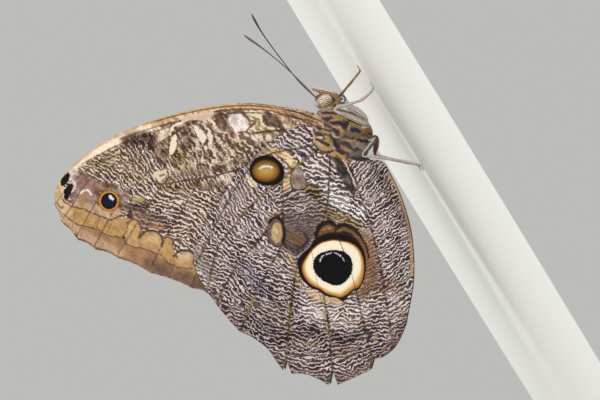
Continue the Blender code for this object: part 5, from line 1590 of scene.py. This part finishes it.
make_rod("feeler_right", ANTENNA_RIGHT, RIGHT, 260, 12, FEELER_NEAR, "antenna_right")
make_rod("feeler_left", ANTENNA_LEFT, LEFT, 280, 12, FEELER_FAR, "antenna_left")

turned = 2 * math.pi * 1.35 * np.linspace(0, 1, 19)
coil = 1.42 - 0.85 * turned / (2 * math.pi)
COIL = [2.75 + coil * np.cos(turned - 0.2), 0 * turned, 9.15 - coil * np.sin(turned - 0.2),
        np.linspace(0.28, 0.22, 19)]
TONGUE_ROUTE = np.vstack([numbers("4.3 0 11.9 0.26, 4.3 0 10.4 0.26"), np.column_stack(COIL)])
make_rod("tongue", TONGUE_ROUTE, RIGHT, 220, 14, TONGUE, "proboscis")

PALP = numbers("""
    3 1.3 11.2 0.5, 2.8 1.4 10.1 0.7, 3.7 1.4 9.8 0.75, 5 1.35 10.2 0.75, 6.2 1.25 11.2 0.72,
    7.4 1.1 12.3 0.68, 8.6 0.9 13.5 0.42, 9.5 0.8 14.25 0.2""")
PALP_STRIPES = stops("""
    -1 fbf0e6, -0.5 f7eadd, -0.4 4a2e20, -0.2 573626, -0.1 c79c76, 0.15 dcb092, 0.35 cf9a76, 0.45 84492c,
    0.6 8f5536, 0.7 d6aa8a, 1 9c7852""")
LIMB_COUNT = 200               # places along a palp or leg
LOWEST = 0.005                 # mm above the floor for any tuft of theirs


def banded(row, place):
    """Colours at places along a row of stops, blended between neighbours."""
    return sampled(np.array([colour(tint) for _, tint in row]), place, [at for at, _ in row])


def limb_rows(route, side):
    """Places and radii of a palp or leg."""
    return route_rows(route, side, LIMB_COUNT, 12)


def across_limb(path, along, angle):
    """Cosine between a point's outward direction and the limb's own upper side in the x, z plane."""
    t, normal, binormal = [sampled(part, along * (len(path) - 1)) for part in frames(path)]
    out = np.cos(angle)[:, None] * normal + np.sin(angle)[:, None] * binormal
    upper = np.column_stack([-t[:, 2], np.zeros(len(t)), t[:, 0]])
    return (out * upper).sum(1) / np.maximum(np.linalg.norm(upper, axis=1), 1e-6)


def make_limb(name, replaced, route, side, tone_of, profile=np.ones_like, slimmer=0.85):
    """The case of a palp or leg: its route's tube, slimmer by the depth of the coat.

    tone_of gives colours from the share of the way along, and from -1 to 1 across the limb seen from its side.
    """
    path, radius = limb_rows(route, side)
    points, faces, along, angle = tube(path, radius * slimmer * profile(np.linspace(0, 1, LIMB_COUNT)), 14)
    points[:, 2] = np.maximum(points[:, 2], 0.01)
    tone = tone_of(along, across_limb(path, along, angle))
    return piece(name, points, faces, BODY_SKIN, bake_places(along, angle), [replaced], {"coat": tone})


def make_limb_coat(name, route, side, length, tone_of, seed, rise, profile=np.ones_like, inset=0.8):
    """3500 tufts on a limb, lying towards its tip, with their roots inset in its tube."""
    count = 3500
    draw = np.random.default_rng(seed)
    path, radius = limb_rows(route, side)
    along, angle = draw.uniform(0.01, 0.985, count), draw.uniform(0, 2 * np.pi, count)
    at = along * (LIMB_COUNT - 1)
    place, tangent, normal, binormal = [sampled(part, at) for part in (path, *frames(path))]
    out = np.cos(angle)[:, None] * normal + np.sin(angle)[:, None] * binormal
    reach = np.interp(at, np.arange(LIMB_COUNT), radius) * inset * profile(along)
    root = place + out * reach[:, None]
    lie = unit(tangent + draw.normal(0, 0.1, (count, 3)))
    tone = varied(draw, tone_of(along, across_limb(path, along, angle)), 0.1)
    root[:, 2] = np.maximum(root[:, 2], 0.1)
    lie[root[:, 2] < 0.6, 2] *= 0.2
    sizes = [draw.uniform(*limits, count) for limits in (length, (0.05, 0.09), rise)]
    return make_tufts(name, root, out, lie, sizes, bake_places(along, angle), tone, LOWEST)


def palp_tone(way, across):
    """Lengthwise stripes from the front edge to the eye, over an ochre cheek at the root."""
    return toward(flat_tone("a98a5c", len(way)), banded(PALP_STRIPES, across), smooth01((way - 0.25) / 0.2))


for side in (RIGHT, LEFT):
    name = sided("palp", side)
    make_limb(name + "_core", name, PALP, side, palp_tone, slimmer=0.9)
    make_limb_coat(name + "_coat", PALP, side, (0.35, 0.65), palp_tone, 51, (0.15, 0.45),
                   inset=0.88)

# %% [markdown]
# ## Legs
# The owl butterfly walks on four legs. The front pair is small, furry and folded against the chest. A leg has
# a thigh with lengthwise stripes, a shin with a few spines, and a foot of five short joints that ends in two
# claws. All of it is dusted with pale scales, which are small tufts here, and the case under them is slimmer.

# %% Legs from their measured routes
MID_LEG_RIGHT = numbers("""
    -6.2 2.6 8.4 0.7, -6.8 4.4 6.9 0.78, -2.6 5.7 9.5 0.8, 1.3 6.3 12.2 0.48, 1 6.9 9.6 0.46, -0.2 8.2 5 0.42,
    0.2 8.9 1.5 0.34, 0.9 9.1 0.16 0.28, 2.4 9.2 0.14 0.26""")
MID_LEG_LEFT = numbers("""
    -6.2 2.6 8.4 0.7, -6.6 4.4 6.9 0.78, -1.8 5.8 9.5 0.8, 2.6 6.4 12.1 0.48, 3.6 6.9 10.2 0.46,
    4.6 7.5 7.2 0.42, 6.2 8.5 2.6 0.34, 7.2 9 0.16 0.28, 8.7 9.2 0.14 0.26""")
HIND_LEG_RIGHT = numbers("""
    -10.2 2.2 8.6 0.7, -11.2 4.2 6.8 0.7, -12.4 5.8 9.6 0.62, -13.4 6.9 12 0.46, -15.2 7.6 9.8 0.45,
    -20 8.8 4.2 0.4, -22.6 9.2 1.5 0.33, -24 9.4 0.16 0.28, -25.5 9.5 0.14 0.26""")
HIND_LEG_LEFT = numbers("""
    -10.2 2.2 8.6 0.7, -11 4.2 6.4 0.85, -13 5.8 7.4 0.85, -14.9 6.9 8.8 0.5, -16.8 7.8 7.3 0.45,
    -20.8 8.9 3.2 0.4, -22.4 9.3 1.4 0.33, -23.6 9.5 0.16 0.28, -25.1 9.7 0.14 0.26""")
FORE_LEG = numbers("""
    -5.1 1.9 8.8 0.7, -5.6 2 6.7 0.85, -4.9 2.05 6.3 0.95, -3.6 2.1 6.6 1.05, -1.8 2.1 7.3 1, -0.2 2 8.1 0.75,
    1.3 1.9 8.2 0.4""")
PINK_GREY = stops("-1 a08e86, -0.4 c9b5ad, 0.2 ecdcd5, 0.7 e2cfc7, 1 b8a49c")
STRIPED = stops("""
    -1 a8937e, -0.9 ecdccd, -0.64 f2e5d9, -0.58 42352a, -0.42 42352a, -0.36 e2d2b8, -0.08 b3a278,
    -0.02 453830, 0.14 453830, 0.2 f0e1d2, 0.44 f4e8de, 0.5 56463b, 0.64 56463b, 0.7 efe0d6, 1 cbb8ad""")
PINK = stops("""
    -1 cdb9ae, -0.85 fbf0e9, -0.5 fdf4ee, -0.44 80695d, -0.32 80695d, -0.26 faeee7, 0.18 fcf2ec,
    0.24 8a7266, 0.36 8a7266, 0.42 faeee7, 0.72 f8ebe4, 1 cbb8ad""")
GREY_WHITE = stops("-1 e2d8d0, -0.6 efe6e0, -0.3 a39ca0, 0 6c6770, 0.5 57525a, 1 6a5f60")
RUST = stops("-1 4a2a1e, 0 7a4630, 1 a87a52")
TAN = stops("-1 7c5c34, 0 b08a52, 1 cfb07a")
KNEE, ANKLE = 0.38, 0.72       # shares of a standing leg's length
FOOT_JOINTS = [ANKLE, ANKLE + 0.12, ANKLE + 0.17, ANKLE + 0.21, ANKLE + 0.25]
SPINES = 9                     # in each of two rows


def leg_tone(thigh, shin):
    """A rule for a standing leg: stripes on the thigh, others beyond the knee, and dark foot joints."""
    def tone(way, across):
        made = toward(banded(thigh, across), banded(shin, across), smooth01((way - KNEE) / 0.03 + 0.5))
        near = np.min([np.abs(way - j) for j in FOOT_JOINTS], axis=0)
        return toward(made, "4a3730", 0.5 * np.exp(-(near / 0.006)**2))
    return tone


def segments(ends):
    """A rule for the thickness along a leg: each segment swells in its middle and narrows at its joints."""
    def factor(way):
        made = np.ones_like(way)
        for a, b in zip(ends, ends[1:]):
            t = np.clip((way - a) / (b - a), 0, 1)
            made = np.where((way >= a) & (way < b), 0.7 + 0.4 * np.sin(np.pi * t)**0.6, made)
        return made
    return factor


def make_spikes(name, route, side):
    """Spines along the shin in two rows, and two claws at the end of the foot."""
    path, radius = limb_rows(route, side)
    tangent, normal, binormal = frames(path)
    at = np.repeat(np.linspace(KNEE + 0.04, ANKLE, SPINES) * (LIMB_COUNT - 1), 2).astype(int)
    turn = np.tile([0.6, 2.6], SPINES)
    out = np.cos(turn)[:, None] * normal[at] + np.sin(turn)[:, None] * binormal[at]
    root, lie = path[at] + out * radius[at][:, None] * 0.7, tangent[at]
    sideways = np.cross(tangent[-1], (0.0, 0.0, 1.0))
    for way in (-1.0, 1.0):
        root = np.vstack([root, path[-1] + sideways * 0.12 * way + (0, 0, 0.1)])
        lie = np.vstack([lie, tangent[-1] * (1, 1, 0) + sideways * 0.5 * way])
        out = np.vstack([out, [0, 0, 1.0]])
    count = len(root)
    claw = np.arange(count) >= 2 * SPINES
    sizes = np.where(claw, 0.55, 0.6), np.full(count, 0.09), np.where(claw, 0.05, 0.55)
    uv = np.column_stack([np.linspace(0.1, 0.9, count), np.full(count, 0.5)])
    return make_tufts(name, root, out, unit(lie), sizes, uv, flat_tone("3a2820", count), LOWEST)


STANDING = segments([0.0, 0.08, KNEE] + FOOT_JOINTS + [1.001])
FOLDED = segments([0.0, 0.25, 1.001])
LEGS = [
    ("midleg_right", MID_LEG_RIGHT, leg_tone(STRIPED, PINK_GREY), STANDING),
    ("midleg_left", MID_LEG_LEFT, leg_tone(STRIPED, TAN), STANDING),
    ("hindleg_right", HIND_LEG_RIGHT, leg_tone(GREY_WHITE, PINK_GREY), STANDING),
    ("hindleg_left", HIND_LEG_LEFT, leg_tone(RUST, PINK_GREY), STANDING),
    ("foreleg_right", FORE_LEG, lambda way, across: banded(PINK, across), FOLDED),
    ("foreleg_left", FORE_LEG, lambda way, across: banded(PINK, across), FOLDED),
]
for name, route, tone, profile in LEGS:
    side = RIGHT if name.endswith("right") else LEFT
    furry = profile is FOLDED
    make_limb(name + "_case", name, route, side, tone, profile)
    make_limb_coat(name + "_coat", route, side, (0.5, 1.0) if furry else (0.22, 0.42), tone, 61,
                   (0.1, 0.3), profile)
    if not furry:
        make_spikes(name + "_spines_claws", route, side)

# %% [markdown]
# ## Floor and light
# The insect stands on a plain pale disc. Two large soft lights, one from the camera's side and one from
# above, keep the colours even, and a third behind brings out the hairs.


# %% Stage and lights
def add_area(name, place, size, power, tint):
    """A square soft light at a place (mm), turned to the middle of the insect."""
    data = bpy.data.lights.new(name, "AREA")
    data.size, data.energy, data.color = size, power, tint
    lamp = bpy.data.objects.new(name, data)
    lamp.location = Vector(place) * 0.001
    lamp.rotation_euler = (Vector((0, 0, 40)) - Vector(place)).to_track_quat("-Z", "Y").to_euler()
    bpy.context.scene.collection.objects.link(lamp)


add_area("key_light", (250, -700, 450), 0.5, 3.4, (1.0, 0.97, 0.93))
add_area("fill_light", (-400, -600, 300), 0.6, 1.6, (0.95, 0.98, 1.0))
add_area("back_light", (100, 600, 500), 0.5, 3.0, (1.0, 1.0, 1.0))

board = Recipe("pale_painted_board")
board.shader.inputs["Base Color"].default_value = colour("d2d1cc")
board.shader.inputs["Roughness"].default_value = 0.8
turn = np.append(around(64), 0.0)
reach = np.append(np.full(64, 300.0), 0.0)
disc = np.column_stack([reach * np.cos(turn), reach * np.sin(turn), np.full(65, -0.02)])
floor_mesh = bpy.data.meshes.new("floor")
k = np.arange(64)
wedges = np.stack([k, (k + 1) % 64, np.full(64, 64)], axis=-1)
floor_mesh.from_pydata((disc * 0.001).tolist(), [], wedges.tolist())
floor_mesh.materials.append(board.material)
floor = bpy.data.objects.new("floor", floor_mesh)
bpy.context.scene.collection.objects.link(floor)

world = bpy.data.worlds.new("studio")
world.use_nodes = True
world.node_tree.nodes["Background"].inputs["Color"].default_value = colour("e9eae6")
world.node_tree.nodes["Background"].inputs["Strength"].default_value = 0.62
bpy.context.scene.world = world
bpy.context.scene.view_settings.view_transform = "Standard"
